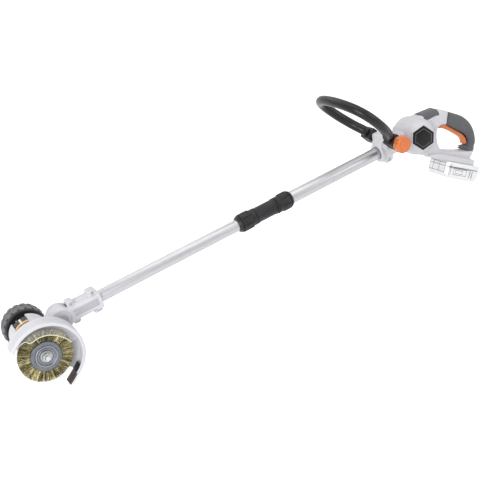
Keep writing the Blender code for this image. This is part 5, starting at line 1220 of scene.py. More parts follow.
def make_collar():
    tube_bore = node_box("lower_tube")[1].z + GAP
    upper_bore = node_box("upper_tube")[1].z + GAP
    front, rear = node_box("collar_nut_front"), node_box("collar_nut_rear")
    clamp_nut("nut_front", front[0].x, front[1].x, tube_bore, False, "collar_nut_front",
              "front_nut")
    clamp_nut("nut_rear", rear[0].x, rear[1].x, upper_bore, True, "collar_nut_rear", "rear_nut")
    start, end = CATCH_X
    catch = [(0.0150, start), (NUT_R + 0.0004, start), (NUT_R + 0.0004, 0.5430),
             (NUT_R - 0.0014, 0.5434), (NUT_R - 0.0014, 0.5446), (NUT_R, 0.5450),
             (NUT_R, end), (0.0150, end)]
    piece("nut_catch", sector(filleted(catch, 0.0003, 2), ORIGIN, *CATCH_DEG, 16, "X"), "black",
          "rear_nut")
    sleeve_low, sleeve_high = node_box("collar_sleeve")
    start, end = front[1].x + 0.001, rear[0].x - 0.001
    rows = [(-0.0012, sleeve_low.x), (-0.0012, start), (0.0006, start), (0.0006, start + 0.0030),
            (-0.0004, start + 0.0034), (-0.0004, end - 0.0060), (0.0008, end - 0.0056),
            (0.0008, end - 0.0036), (-0.0006, end - 0.0034), (-0.0006, end - 0.0016),
            (0.0008, end - 0.0014), (0.0008, end), (-0.0012, end), (-0.0012, sleeve_high.x)]
    profile = filleted([(tube_bore, sleeve_low.x)] + [(SLEEVE_R + step, x) for step, x in rows]
                       + [(upper_bore, sleeve_high.x), (upper_bore, start + 0.003),
                          (tube_bore, start + 0.003)], 0.0003, 2)
    piece("sleeve_skin", lathe(profile, "X", ORIGIN, 96), "black", "handle_unit",
          ["collar_sleeve"])


# Loop handle, its knob and its bracket

LOOP_LEAN_DEG = 52.0
LOOP_TUBE_R = 0.0115
LOOP_HALF_SPAN = 0.0480
LOOP_HALF_WIDTH = 0.0915
LOOP_REACH = 0.1800
LOOP_END_START = 0.0200
LOOP_SHARES = ((0.27, 0.75), (0.445, 0.934), (0.60, 1.0), (0.735, 0.989), (0.844, 0.89),
               (0.928, 0.692), (0.979, 0.396), (1.0, 0.0))
LOOP_TAPER = 0.0022
LADDER_RIBS = 20
LADDER_SHARES = (0.050, 0.130)
LADDER_DEG = (20, 110)
LADDER_R = 0.00055
DASH_RINGS = 16
DASH_ROWS = 5
DASH_SHARES = (0.955, -0.110)
DASH_ROW_DEG = 24
DASH_SPAN_DEG = 13
DASH_SLANT = 0.0028
DASH_R = 0.00050
SOCKET_Y = (0.0273, 0.0610)
SOCKET_HALF = 0.0150
SOCKET_END = 0.0197
LOOP_BOLT_BORE = 0.0043
POLE_BORE = 0.0153
BRACKET_SCREW_R = 0.0036
BRACKET_HALF = 0.0268
KNOB_R = 0.0205
KNOB_LOBES = 6
KNOB_LOBE_DEPTH = 0.0016


def loop_frame():
    """The loop's own plane: X away from the pivot along its lean, Y across, Z off the plane."""
    lean = math.radians(LOOP_LEAN_DEG)
    out = Vector((-math.cos(lean), 0, math.sin(lean)))
    across = Vector((0, 1, 0))
    off = out.cross(across)
    turn = Matrix((out, across, off)).transposed().to_4x4()
    return Matrix.Translation(LOOP_PIN) @ turn


def loop_route():
    """The middle line of the loop in its own plane, from one socket to the other."""
    half = [(LOOP_END_START, LOOP_HALF_SPAN - 0.0015),
            (LOOP_END_START + 0.010, LOOP_HALF_SPAN + 0.0005)]
    half += [(LOOP_REACH * out, LOOP_HALF_WIDTH * wide) for out, wide in LOOP_SHARES]
    mirrored = [(s, -y) for s, y in reversed(half[:-1])]
    return [(s, y, 0.0) for s, y in curve_through(half + mirrored, 8)]


def loop_spot(route, part):
    """The place, heading and across direction on the loop's middle line."""
    spot = part * (len(route) - 1)
    index = min(int(spot), len(route) - 2)
    here = Vector(route[index]).lerp(Vector(route[index + 1]), spot - index)
    heading = (Vector(route[index + 1]) - Vector(route[index])).normalized()
    return here, heading, heading.cross(Vector((0, 0, 1))).normalized()


def off_loop(sideways, degrees):
    """The direction away from the loop's middle line at an angle round it."""
    angle = math.radians(degrees)
    return sideways * math.cos(angle) + Vector((0, 0, 1)) * math.sin(angle)


def loop_ridges(route):
    """The raised ladder on one side of the loop's grip and the dashes on the other."""
    ridges = []
    for index in range(LADDER_RIBS):
        part = LADDER_SHARES[0] + LADDER_SHARES[1] * index / (LADDER_RIBS - 1)
        here, heading, sideways = loop_spot(route, part)
        start, turn = LADDER_DEG
        line = [here + off_loop(sideways, start + turn * step / 12) * (LOOP_TUBE_R - 0.0001)
                for step in range(13)]
        ridges.append(sweep(line, LADDER_R, 5, up=heading))
    for index in range(DASH_RINGS):
        part = DASH_SHARES[0] + DASH_SHARES[1] * index / (DASH_RINGS - 1)
        here, heading, sideways = loop_spot(route, part)
        for row in range(DASH_ROWS):
            middle = 5 + DASH_ROW_DEG * (row + 0.5 * (index % 2))
            line = [here + off_loop(sideways, middle + DASH_SPAN_DEG * share) * LOOP_TUBE_R
                    + heading * DASH_SLANT * share for share in (-1 / 2, -1 / 6, 1 / 6, 1 / 2)]
            ridges.append(sweep(line, DASH_R, 5, up=heading))
    return ridges


def loop_socket(side):
    """The block that holds one end of the loop, in the loop's own frame."""
    outline = filleted([(-SOCKET_HALF, -0.0105), (-0.0105, -SOCKET_HALF),
                        (SOCKET_END, -SOCKET_HALF), (SOCKET_END, SOCKET_HALF),
                        (-0.0105, SOCKET_HALF), (-SOCKET_HALF, 0.0105)], 0.0035, 5)
    cuts = [rod("Y", ORIGIN, LOOP_BOLT_BORE, -0.08, 0.08)]
    low, high = y_span(side, 0.034, 0.054)
    for low_z, high_z in ((0.0140, 0.0185), (-0.0185, -0.0140)):
        cuts.append(block((-0.004, low, low_z), (0.014, high, high_z), 0.001, 2))
    low, high = y_span(side, SOCKET_Y[1] - 0.0022, SOCKET_Y[1] - 0.0018)
    inside = slab(inset_outline(outline, 0.0006), low - 0.01, high + 0.01)
    cuts.append(combined(block((-0.03, low, -0.03), (0.03, high, 0.03)), [], [inside]))
    return combined(slab(outline, *y_span(side, *SOCKET_Y), 0.0028, 5), [], cuts)


def make_loop():
    place = loop_frame()
    route = loop_route()

    def skin(part, _):
        away = min(part, 1 - part)
        return LOOP_TUBE_R - LOOP_TAPER * max(0.0, 1 - away / 0.012)

    piece("loop_tube", moved(sweep(route, LOOP_TUBE_R, 40, shape=skin), place), "foam", "loop",
          ["loop_handle"])
    piece("loop_ribs", moved(merged(*loop_ridges(route)), place), "foam", "loop")
    for side, name in SIDES:
        piece(f"loop_socket_{name}", moved(loop_socket(side), place), "black", "loop",
              [f"loop_end_{name}"])
    low, high = node_box("loop_bolt")
    bolt = filleted([(0, low.y), (0.0040, low.y), (0.0040, 0.0612), (0.0080, 0.0613),
                     (0.0080, high.y - 0.001, 0.001), (0, high.y)], 0.0, 3)
    piece("loop_bolt_skin", lathe(bolt, "Y", LOOP_PIN, 40), "steel", "loop", ["loop_bolt"])


def make_knob():
    low, high = node_box("knob")
    face, base = low.y, high.y

    def lobed(angle, r, _):
        if r < KNOB_R - 0.0030:
            return r
        return r - KNOB_LOBE_DEPTH * ((1 - math.cos(KNOB_LOBES * angle + 0.6)) / 2) ** 3

    profile = filleted(
        set_off([(0, 0.0022), (0.0012, 0.0022), (0.0018, 0.0009, 0.0004), (0.0030, 0.0007),
                 (0.0062, 0.0016), (0.0118, 0.0020), (0.0134, 0.0008, 0.0005),
                 (0.0146, 0.0001, 0.0006), (0.0156, 0.0009, 0.0005),
                 (KNOB_R - 0.0034, 0.0006, 0.0010), (KNOB_R - 0.0004, 0.0030, 0.0016),
                 (KNOB_R, 0.0060)], face)
        + set_off([(KNOB_R, -0.0040), (KNOB_R - 0.0006, -0.0018, 0.0010),
                   (KNOB_R - 0.0022, 0), (0, 0)], base), 0.0005, 3)
    hole = rod("Y", LOOP_PIN, LOOP_BOLT_BORE, face + 0.0057, base + 0.01, 40)
    knob = combined(lathe(profile, "Y", LOOP_PIN, 240, lobed), [], [hole])
    piece("knob_skin", knob, "orange", "clamp_knob", ["knob"])


def make_bracket():
    low, high = node_box("loop_bracket")
    start, end = low.x, high.x
    saddle, collar = (
        lathe(filleted(rectangle(POLE_BORE, radius, first, last), 0.0015, 3), "X", ORIGIN, 72)
        for radius, first, last in ((0.0205, start + 0.002, end), (0.0235, start, start + 0.007)))
    top = LOOP.z + 0.0138
    tower = filleted([(start + 0.010, 0.004), (start + 0.012, 0.018), (start + 0.014, top),
                      (LOOP.x + 0.010, top), (LOOP.x + 0.0165, LOOP.z), (end - 0.002, 0.010),
                      (end - 0.004, 0.004)], 0.006, 5)
    wedge = filleted([(start + 0.001, -0.006), (start + 0.003, 0.024),
                      (start + 0.014, top - 0.004), (start + 0.022, top - 0.006),
                      (start + 0.022, -0.006)], 0.004, 4)
    lug = filleted([(start + 0.006, -0.010), (start + 0.011, -0.0300),
                    (start + 0.031, -0.0300), (start + 0.037, -0.010)], 0.005, 5)
    adds = [collar, slab(tower, -BRACKET_HALF, BRACKET_HALF, 0.0022, 4),
            slab(wedge, -0.0180, 0.0180, 0.0030, 4), slab(lug, -0.0150, 0.0150, 0.0030, 4),
            lathe(filleted(rectangle(0, 0.0128, -0.0270, 0.0270), 0.001, 2), "Y", LOOP_PIN, 64)]
    low, high = node_box("bracket_screw")
    screw = ((low.x + high.x) / 2, 0, (low.z + high.z) / 2)
    cuts = [rod("X", ORIGIN, POLE_BORE, start - 0.02, end + 0.02, 72),
            rod("Y", LOOP_PIN, LOOP_BOLT_BORE, *THROUGH), rod("Y", screw, 0.0039, *THROUGH)]
    piece("bracket_shell", moulded(combined(saddle, adds, cuts), 0.0007, 5, 0.30), "casing",
          "handle_unit", ["loop_bracket"])
    head = screw_head((screw[0], -0.0118, screw[2]), BRACKET_SCREW_R, 0.0022, -1)
    shank = rod("Y", screw, BRACKET_SCREW_R, -0.0119, 0.0125, 24)
    piece("bracket_screw_skin", merged(head, shank), "steel", "handle_unit", ["bracket_screw"])


# Handle casing, badges, pad, lock, grip and trigger

DRUM = Vector((0.9530, 0, -0.0020))
DRUM_R = 0.0450
CASE_HALF = 0.0385
CORE_HALF = 0.0205
GROOVE_R = 0.0009
SLEEVE_X = 0.8970
SLEEVE_HALF = 0.0225
GRIP_JOINT_TOP = (1.0560, 0.0205)
GRIP_JOINT_LOW = (1.0440, -0.0095)
GRIP_FOOT_FRONT = (1.0680, -0.0940)
GRIP_FOOT_REAR = (1.1130, -0.1110)
FOOT = Vector((1.0040, 0, -0.0677))
FOOT_SLOPE_DEG = 32.0
FOOT_LENGTH = 0.1120
FOOT_THICK = 0.0160
SLOT_FRONT = 0.0080
FOOT_FRONT = -0.0380
FOOT_HALF = 0.0340
FOOT_FRAME = Matrix.Translation(FOOT) @ Matrix.Rotation(math.radians(FOOT_SLOPE_DEG), 4, "Y")


def foot_point(along, up):
    """A place given in the sloping foot's frame, as an (x, z) point."""
    place = FOOT_FRAME @ Vector((along, 0, up))
    return (place.x, place.z)


def case_line():
    """The casing's side view: sleeve, drum, top, grip joints and foot, as (x, z) points."""
    core_r = DRUM_R - 0.0012
    sleeve_deg = math.degrees(math.asin((SLEEVE_HALF + 0.004) / DRUM_R))
    line = [(SLEEVE_X, -SLEEVE_HALF), (SLEEVE_X, SLEEVE_HALF)]
    line += arc(DRUM.x, DRUM.z, core_r, 180 - sleeve_deg, 84, 14)
    line += curve_through([(0.9620, 0.0420), (0.976, 0.0410), (1.000, 0.0400), (1.018, 0.0378),
                           (1.036, 0.0325)], 3)[1:]
    line += [GRIP_JOINT_TOP, GRIP_JOINT_LOW]
    line += curve_through([(1.0300, -0.0050), (1.0200, -0.0060), (1.0130, -0.0130),
                           (1.0090, -0.0240), (1.0075, -0.0380), (1.0090, -0.0540),
                           (1.0170, -0.0690)], 4)
    line += [GRIP_FOOT_FRONT, GRIP_FOOT_REAR]
    core_low = -FOOT_THICK + 0.0020
    line += [foot_point(FOOT_LENGTH - 0.002, 0.0), foot_point(FOOT_LENGTH - 0.002, core_low)]
    line += [foot_point(FOOT_FRONT + 0.004, core_low)]
    line += arc(DRUM.x, DRUM.z, core_r, -84, -180 + sleeve_deg, 14)
    return line


TRIGGER_FRONT = [(1.0270, -0.0140), (1.0360, -0.0180), (1.0470, -0.0255), (1.0590, -0.0355),
                 (1.0713, -0.0474), (1.0875, -0.0647), (1.0926, -0.0753), (1.0935, -0.0860)]
TRIGGER_BACK = [(1.1000, -0.0885), (1.1030, -0.0830), (1.1010, -0.0715), (1.0935, -0.0578),
                (1.0736, -0.0378), (1.0560, -0.0215)]
TRIGGER_HALF = 0.0080
TRIGGER_ROOM = TRIGGER_HALF + 0.0005
TRIGGER_RIBS = 9
TRIGGER_SWING_DEG = 6.5
TRIGGER_MARGIN = 1.015


def trigger_room():
    """The channel that the trigger and its whole swing need."""
    x, z = TRIGGER.x, TRIGGER.z
    swing = math.radians(TRIGGER_SWING_DEG)
    back = []
    for px, pz in TRIGGER_BACK:
        dx, dz = px - x, pz - z
        swung = Vector((dx * math.cos(swing) - dz * math.sin(swing),
                        dx * math.sin(swing) + dz * math.cos(swing)))
        back.append((x + swung.x * TRIGGER_MARGIN, z + swung.y * TRIGGER_MARGIN))
    front = [(1.0245, -0.0170), (1.0300, -0.0260), (1.0550, -0.0440), (1.0750, -0.0600),
             (1.0860, -0.0760), (1.0905, -0.0885), (1.1000, -0.0915)]
    return front + back + arc(x, z, 0.0070, 10, 170, 8) + [(1.0245, -0.0090)]


BADGE_FIELD_R = 0.0352
BADGE_RECESS_R = 0.0323
BADGE_R = 0.0317
BADGE_LINE_R = (0.0245, 0.0236)
BADGE_CORNERS = ((75, 0.95), (137, 1.12), (181, 1.04), (255, 0.95), (317, 1.12), (361, 1.04))


def hexagon(radius):
    """The badge's outline as (x, z) points, its corners at shares of a radius."""
    return [(DRUM.x + radius * share * math.cos(math.radians(degrees)),
             DRUM.z + radius * share * math.sin(math.radians(degrees)))
            for degrees, share in BADGE_CORNERS]


PAD_X = (0.9800, 1.0240)
PAD_SLOPE = 0.075


def pad_solid(room):
    """The dark pad over the top of the casing, wrapped down both shoulders."""
    half, top = 0.0214 + room, 0.0414 + room
    section = [(-half, 0.0270 - room), (-half, 0.0330), (-0.0188 - room, 0.0374 + room),
               (-0.0130, top - 0.0010), (-0.0080, top), (0.0080, top), (0.0130, top - 0.0010),
               (0.0188 + room, 0.0374 + room), (half, 0.0330),
               (half, 0.0270 - room), (0.0150, 0.0345 - room), (-0.0150, 0.0345 - room)]
    solid = bar(section, PAD_X[0] - room, PAD_X[1] + room)
    for vert in solid.verts:
        vert.co.z -= (vert.co.x - (PAD_X[0] + PAD_X[1]) / 2) * PAD_SLOPE
    return solid


LOCK_X = (1.0320, 1.0490)
LOCK_HALF = 0.0070


def rail_line(room, low):
    """The slide rail's T shape in the foot's frame, as (y, z) points."""
    neck, wide = 0.0160 + room, 0.0200 + room
    top = -FOOT_THICK + 0.0080 + room
    lip = -FOOT_THICK + 0.0040 - room
    return [(-neck, low), (neck, low), (neck, lip), (wide, lip), (wide, top), (-wide, top),
            (-wide, lip), (-neck, lip)]


CASE_RIDGES = (
    [(0.9780, 0.0250, 0.0205), (0.9960, 0.0215, 0.0235), (1.0150, 0.0195, 0.0262),
     (1.0330, 0.0170, 0.0250)],
    [(0.9880, 0.0275, 0.0060), (1.0050, 0.0225, 0.0035), (1.0170, 0.0190, 0.0085),
     (1.0380, 0.0175, 0.0165)],
)


def casing_solid():
    """The casing before it is hollowed: core, drum, sleeve, badge fields, foot and ridges."""
    core = slab(case_line(), -CORE_HALF, CORE_HALF, 0.0070, 5)
    drum_line = filleted(
        [(0, -CASE_HALF + 0.0015), (DRUM_R - 0.0115, -CASE_HALF + 0.0015, 0.006),
         (DRUM_R - 0.0020, -0.0285, 0.006), (DRUM_R, -0.0160, 0.006), (DRUM_R, 0.0160, 0.006),
         (DRUM_R - 0.0020, 0.0285, 0.006), (DRUM_R - 0.0115, CASE_HALF - 0.0015, 0.006),
         (0, CASE_HALF - 0.0015)], 0.0, 5)
    sleeve_line = filleted(set_off([(0, 0.001), (0.0212, 0.001, 0.002), (0.0235, 0.014),
                                    (0.0270, 0.030), (0, 0.030)], SLEEVE_X), 0.0, 4)
    adds = [lathe(drum_line, "Y", DRUM, 110), lathe(sleeve_line, "X", ORIGIN, 72)]
    for side, _ in SIDES:
        adds.append(slab(hexagon(BADGE_FIELD_R), side * 0.020, side * CASE_HALF, 0.0018, 4,
                         both=False))
        flange = [foot_point(FOOT_FRONT, -FOOT_THICK), foot_point(FOOT_FRONT, -0.009),
                  foot_point(-0.010, -0.0015), foot_point(FOOT_LENGTH - 0.004, -0.0015),
                  foot_point(FOOT_LENGTH, -0.005), foot_point(FOOT_LENGTH, -FOOT_THICK)]
        adds.append(slab(flange, side * 0.010, side * FOOT_HALF, 0.0035, 5, both=False))
        for ridge in CASE_RIDGES:
            line = [(x, side * y, z) for x, y, z in curve_through(ridge, 5)]
            adds.append(sweep(line, 0.0026, 10))
    surround = [(1.0215, 0.0300), (1.0215, 0.0366), (1.0260, 0.0356), (1.0420, 0.0292),
                (1.0545, 0.0222), (1.0560, 0.0205), (1.0500, 0.0100)]
    adds.append(slab(filleted(surround, 0.0030, 4), -0.0112, 0.0112, 0.0018, 4))
    return combined(core, adds, [])


def casing_cuts():
    """Cutters for the casing's badges, hollow, pole, rail, pad, lock, trigger and grooves."""
    cuts = [slab(hexagon(BADGE_RECESS_R), side * (CASE_HALF - 0.0020), side * THROUGH[1])
            for side, _ in SIDES]
    lock_x = (LOCK_X[0] - 0.0005, LOCK_X[1] + 0.0005)
    lock_y = LOCK_HALF + 0.0005
    cuts += [lathe([(0, -0.032), (DRUM_R - 0.004, -0.027), (DRUM_R - 0.004, 0.027), (0, 0.032)],
                   "Y", DRUM, 48),
             rod("X", ORIGIN, POLE_BORE, SLEEVE_X - 0.01, DRUM.x, 64),
             moved(bar(rail_line(0.0006, -0.03), SLOT_FRONT, FOOT_LENGTH + 0.01), FOOT_FRAME),
             pad_solid(GAP),
             block((lock_x[0], -lock_y, 0.0110), (lock_x[1], lock_y, 0.060)),
             slab(trigger_room(), -TRIGGER_ROOM, TRIGGER_ROOM),
             rod("Y", TRIGGER_PIN, 0.0033, -0.0114, 0.0114, 24)]
    for side, _ in SIDES:
        low, high = y_span(side, CORE_HALF - 0.0010, CORE_HALF + 0.003)
        for x, z in ((0.9970, -0.0600), (1.0020, -0.0770)):
            cuts.append(block((x - 0.0040, low, z - 0.0011), (x + 0.0040, high, z + 0.0011),
                              0.0008, 2))
        groove = [(1.0068, side * 0.0207, 0.0060), (1.0220, side * 0.0207, 0.0105),
                  (1.0390, side * 0.0200, 0.0150)]
        cuts.append(sweep(curve_through(groove, 4), GROOVE_R, 8))
        cuts.append(rod("Y", (1.0340, 0, -0.0965), 0.0014, low, high, 16))
    return cuts


def make_casing():
    whole = moulded(combined(casing_solid(), [], casing_cuts()), 0.0009, 5, 0.30)
    for side, label, half in halves(whole):
        piece(f"casing_{label}", half, "casing", "handle_unit", [f"body_shell_{label}"])
        plate = slab(filleted(hexagon(BADGE_R), 0.0015, 4), side * (CASE_HALF - 0.0017),
                     side * CASE_HALF, 0.0005, 3, both=False)
        piece(f"badge_plate_{label}", plate, "badge", "handle_unit", [f"badge_{label}"])
        outer, inner = (
            slab(filleted(hexagon(radius), 0.0012, 3), side * (CASE_HALF - under),
                 side * (CASE_HALF + over))
            for radius, under, over in zip(BADGE_LINE_R, (0.0002, 0.001), (0.00018, 0.001)))
        piece(f"badge_ring_{label}", combined(outer, [], [inner]), "badge_line", "handle_unit")


def grip_line():
    """The grip's side view, a gap away from the casing at both of its joints."""
    joint = Vector(GRIP_JOINT_TOP) - Vector(GRIP_JOINT_LOW)
    off_joint = Vector((joint.y, -joint.x)).normalized() * GAP
    foot = Vector(GRIP_FOOT_REAR) - Vector(GRIP_FOOT_FRONT)
    off_foot = Vector((-foot.y, foot.x)).normalized() * GAP
    top = tuple(Vector(GRIP_JOINT_TOP) + off_joint)
    low = tuple(Vector(GRIP_JOINT_LOW) + off_joint)
    front = tuple(Vector(GRIP_FOOT_FRONT).lerp(Vector(GRIP_FOOT_REAR), 0.50) + off_foot)
    rear = tuple(Vector(GRIP_FOOT_REAR) + off_foot)
    outer = curve_through([top, (1.0760, 0.0065), (1.1000, -0.0115), (1.1190, -0.0360),
                           (1.1275, -0.0640), (1.1260, -0.0920), rear], 6)
    inner = curve_through([front, (1.0925, -0.0950), (1.0950, -0.0915)], 3)
    inner += curve_through([(1.1020, -0.0935), (1.1045, -0.0860), (1.1030, -0.0717),
                            (1.0943, -0.0566), (1.0736, -0.0369), low], 4)
    return outer + inner


GRIP_HALF = 0.0175
GRIP_COLLAR_HALF = 0.0184
GRIP_GROOVES = (
    [(1.0680, -0.0265), (1.0740, -0.0243), (1.0800, -0.0240), (1.0910, -0.0330),
     (1.1000, -0.0450), (1.1000, -0.0520), (1.0955, -0.0590)],
    [(1.0650, 0.0010), (1.0700, -0.0030)],
    [(1.0740, -0.0060), (1.0780, -0.0090)],
)


def make_grip():
    body = slab(grip_line(), -GRIP_HALF, GRIP_HALF, 0.0100, 8)
    cuts = [slab(trigger_room(), -TRIGGER_ROOM, TRIGGER_ROOM),
            block((1.0657, -0.0073, -0.0173), (1.0843, 0.0073, -0.0047))]
    for side, _ in SIDES:
        for groove in GRIP_GROOVES:
            line = [(x, side * (GRIP_HALF + 0.0002), z) for x, z in curve_through(groove, 4)]
            cuts.append(sweep(line, GROOVE_R, 8))
    foot = Vector(GRIP_FOOT_REAR) - Vector(GRIP_FOOT_FRONT)
    rise = Vector((-foot.y, foot.x)).normalized()
    collars = []
    for step in (0.0012, 0.0058):
        line = [Vector(GRIP_FOOT_FRONT) + rise * step + foot * 0.48,
                Vector(GRIP_FOOT_REAR) + rise * step - foot * 0.02]
        line += [line[1] + rise * 0.0028, line[0] + rise * 0.0028]
        collars.append(slab([tuple(p) for p in line], -GRIP_COLLAR_HALF, GRIP_COLLAR_HALF,
                            0.0010, 3))
    solid = moulded(merged(body, *collars), 0.0006, 0, 1.0)
    whole = moulded(combined(solid, [], cuts), 0.0006, 3, 0.30)
    for _, label, half in halves(whole):
        piece(f"grip_skin_{label}", half, "grip", "handle_unit", [f"grip_{label}"])


def make_trigger():
    lever_line = curve_through(TRIGGER_FRONT, 4) + curve_through(TRIGGER_BACK, 3)
    lever_line += arc(TRIGGER.x, TRIGGER.z, 0.0060, 0, 150, 8)
    lever = slab(lever_line, -TRIGGER_HALF, TRIGGER_HALF, 0.0022, 4)
    stubs = rod("Y", TRIGGER_PIN, 0.0030, -0.0110, 0.0110, 24)
    ribs = []
    for side, _ in SIDES:
        for index in range(TRIGGER_RIBS):
            x, z = 1.0560 + 0.0042 * index, -0.0290 - 0.0046 * index
            ribs.append(sweep([(x - 0.0030, side * TRIGGER_HALF, z - 0.0028),
                               (x + 0.0040, side * TRIGGER_HALF, z + 0.0006)], 0.0004, 6))
    piece("trigger_lever_skin", combined(lever, [stubs], ribs), "orange", "trigger_lever",
          ["trigger"])


def make_top():
    piece("top_pad_skin", pad_solid(0.0), "grip", "handle_unit", ["top_pad"])
    low, high = node_box("lock_button")
    slope = 0.0105
    outline = filleted([(LOCK_X[0], low.z), (LOCK_X[1], low.z), (LOCK_X[1], high.z - slope, 0.002),
                        (LOCK_X[0] + 0.010, high.z - slope * 0.72, 0.004),
                        (LOCK_X[0], high.z, 0.0015)], 0.0005, 4)
    button = slab(outline, -LOCK_HALF, LOCK_HALF, 0.0012, 3)
    piece("lock_skin", button, "orange", "lock_off", ["lock_button"])


# Battery

BATTERY_FRONT = 0.0230
BATTERY_END = BATTERY_FRONT + 0.1100
BATTERY_HALF = 0.0370
BATTERY_NOSE = 0.0080
BATTERY_TOP = -FOOT_THICK - GAP
BATTERY_SEAM = BATTERY_TOP - 0.0120
BATTERY_BASE = BATTERY_TOP - 0.0400
BAND_START = BATTERY_FRONT + 0.0780
BAND_WIDTH = 0.0080
SEAM_HALF = 0.00055
SEAM_DEPTH = 0.0006
LID_GROOVES = 5
LID_GROOVE_PITCH = 0.0034
BUTTON_LINES = 3
RAIL_START = 0.0240


def nose_wedge(side):
    """A cutter that bevels the battery's front corner on one side."""
    outer = side * (BATTERY_HALF + 0.01)
    corner = side * (BATTERY_HALF - BATTERY_NOSE)
    start = BATTERY_FRONT
    plan = [(start - 0.01, corner - side * 0.01), (start - 0.01, outer),
            (start + BATTERY_NOSE + 0.01, outer), (start + BATTERY_NOSE, side * BATTERY_HALF),
            (start, corner)]
    return lofted([[(x, y, z) for x, y in plan] for z in (-0.09, 0.02)])


def battery_seams():
    """Thin inlaid lines on the battery's sides and front, where its mouldings meet."""
    half, line, deep = BATTERY_HALF, SEAM_HALF, SEAM_DEPTH
    front, nose = BATTERY_FRONT, BATTERY_FRONT + BATTERY_NOSE
    low_z, high_z = BATTERY_BASE + 0.0100, BATTERY_TOP - 0.0050
    under, seam, band_end = low_z - 0.002, BATTERY_SEAM, BAND_START + BAND_WIDTH
    strips = [(nose + 0.002, seam, BAND_START - 0.001, seam, 0.0),
              (nose + 0.001, under, nose + 0.001, high_z, 0.0),
              (nose + 0.005, under, nose + 0.005, high_z, 0.0)]
    for x0, x1, inner in ((0.046, 0.090, 0.0), (0.052, 0.076, 0.0035)):
        z0, z1 = low_z + inner, seam - 0.003 - inner
        strips += [(x0, z0, x1, z0, 0.0), (x0, z1, x1, z1, 0.0),
                   (x0, z0, x0, z1, 0.0), (x1, z0, x1, z1, 0.0)]
    strips += [(x, under, x, seam - 0.004, 0.001) for x in (BAND_START, band_end)]
    rows = []
    for side, _ in SIDES:
        for x0, z0, x1, z1, out in strips:
            low, high = y_span(side, half + out - deep, half + out + 0.0001)
            rows.append(block((x0 - line, low, z0 - line), (x1 + line, high, z1 + line)))
    reach = half - BATTERY_NOSE - 0.001
    for z in (seam, low_z + 0.002, high_z):
        rows.append(block((front - 0.0001, -reach, z - line), (front + deep, reach, z + line)))
    for y in (-reach, -reach * 0.25, reach * 0.55, reach):
        rows.append(block((front - 0.0001, y - line, low_z), (front + deep, y + line, high_z)))
    return rows


def battery_lid():
    """The upper moulding: rail on top, finger grooves at the rear and room for the button."""
    start, end, half = BATTERY_FRONT, BATTERY_END, BATTERY_HALF
    top, seam = BATTERY_TOP, BATTERY_SEAM
    lid = slab([(start + 0.004, top), (start, top - 0.004), (start, seam + GAP),
                (end, seam + GAP), (end, top - 0.004), (end - 0.004, top)], -half, half,
               0.003, 5)
    rail = bar(rail_line(0.0, top - 0.004), RAIL_START, FOOT_LENGTH - 0.0100)
    cuts = [block((end - 0.0115, -0.0125, seam - 0.01), (end + 0.02, 0.0125, top + 0.02))]
    cuts += [nose_wedge(side) for side, _ in SIDES]
    for side, _ in SIDES:
        low, high = y_span(side, half - 0.0010, half + 0.004)
        for index in range(LID_GROOVES):
            x = end - 0.006 - LID_GROOVE_PITCH * index
            cuts.append(block((x - 0.0008, low, seam + 0.002), (x + 0.0008, high, top - 0.003)))
    return combined(lid, [rail], cuts)


def battery_case():
    """The lower moulding: a hollow box with a band round its rear."""
    start, end, half = BATTERY_FRONT, BATTERY_END, BATTERY_HALF
    base, seam = BATTERY_BASE, BATTERY_SEAM
    case = slab([(start, seam), (end, seam), (end, base + 0.010), (end - 0.010, base),
                 (start + 0.010, base), (start, base + 0.010)], -half, half, 0.006, 6)
    band_end = BAND_START + BAND_WIDTH
    band = slab([(BAND_START, seam - 0.002), (band_end, seam - 0.002),
                 (band_end, base - 0.001), (BAND_START, base - 0.001)],
                -half - 0.001, half + 0.001, 0.004, 4)
    cuts = [block((start + 0.0105, -half + 0.0025, base + 0.0035),
                  (end - 0.0065, half - 0.0025, seam + 0.01))]
    cuts += [nose_wedge(side) for side, _ in SIDES]
    return combined(case, [band], cuts)


def latch_button():
    """The release button with three grip lines."""
    low, high = node_box("battery_button", FOOT_FRAME.inverted() @ INTO_TOOL)
    lines = []
    for index in range(BUTTON_LINES):
        z = low.z + (high.z - low.z) * (index + 1) / (BUTTON_LINES + 1)
        lines.append(block((high.x - 0.0007, low.y + 0.003, z - 0.0004),
                           (high.x + 0.002, high.y - 0.003, z + 0.0004)))
    return combined(block(low, high, 0.0012, 3), [], lines)


def make_battery():
    for name, bm, finish, body, nodes in (
            ("battery_top", battery_lid(), "battery", "battery", ["battery_lid"]),
            ("battery_shell", battery_case(), "battery", "battery", ["battery_case"]),
            ("battery_seams", merged(*battery_seams()), "seam", "battery", ()),
            ("button_skin", latch_button(), "orange", "battery_latch", ["battery_button"])):
        piece(name, moved(bm, FOOT_FRAME), finish, body, nodes)


# Stage: each lamp's name, place from the middle of the box, size and power

LAMPS = (
    ("overhead", (0.25, 0.15, 2.1), (2.6, 1.3), 14.5),
    ("front", (-1.8, -1.35, 0.95), (1.4, 1.2), 34.0),
    ("right", (1.6, -1.3, 1.1), (1.4, 1.0), 9.0),
    ("back", (-0.2, 2.0, 1.5), (2.0, 1.0), 8.0),
)
FLOOR_REACH = 9.0


def lamp_place(offset):
    """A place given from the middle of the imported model's box."""
    low, high = (Vector(corner) for corner in CAD_BOX)
    return (low + high) / 2 + Vector(offset)


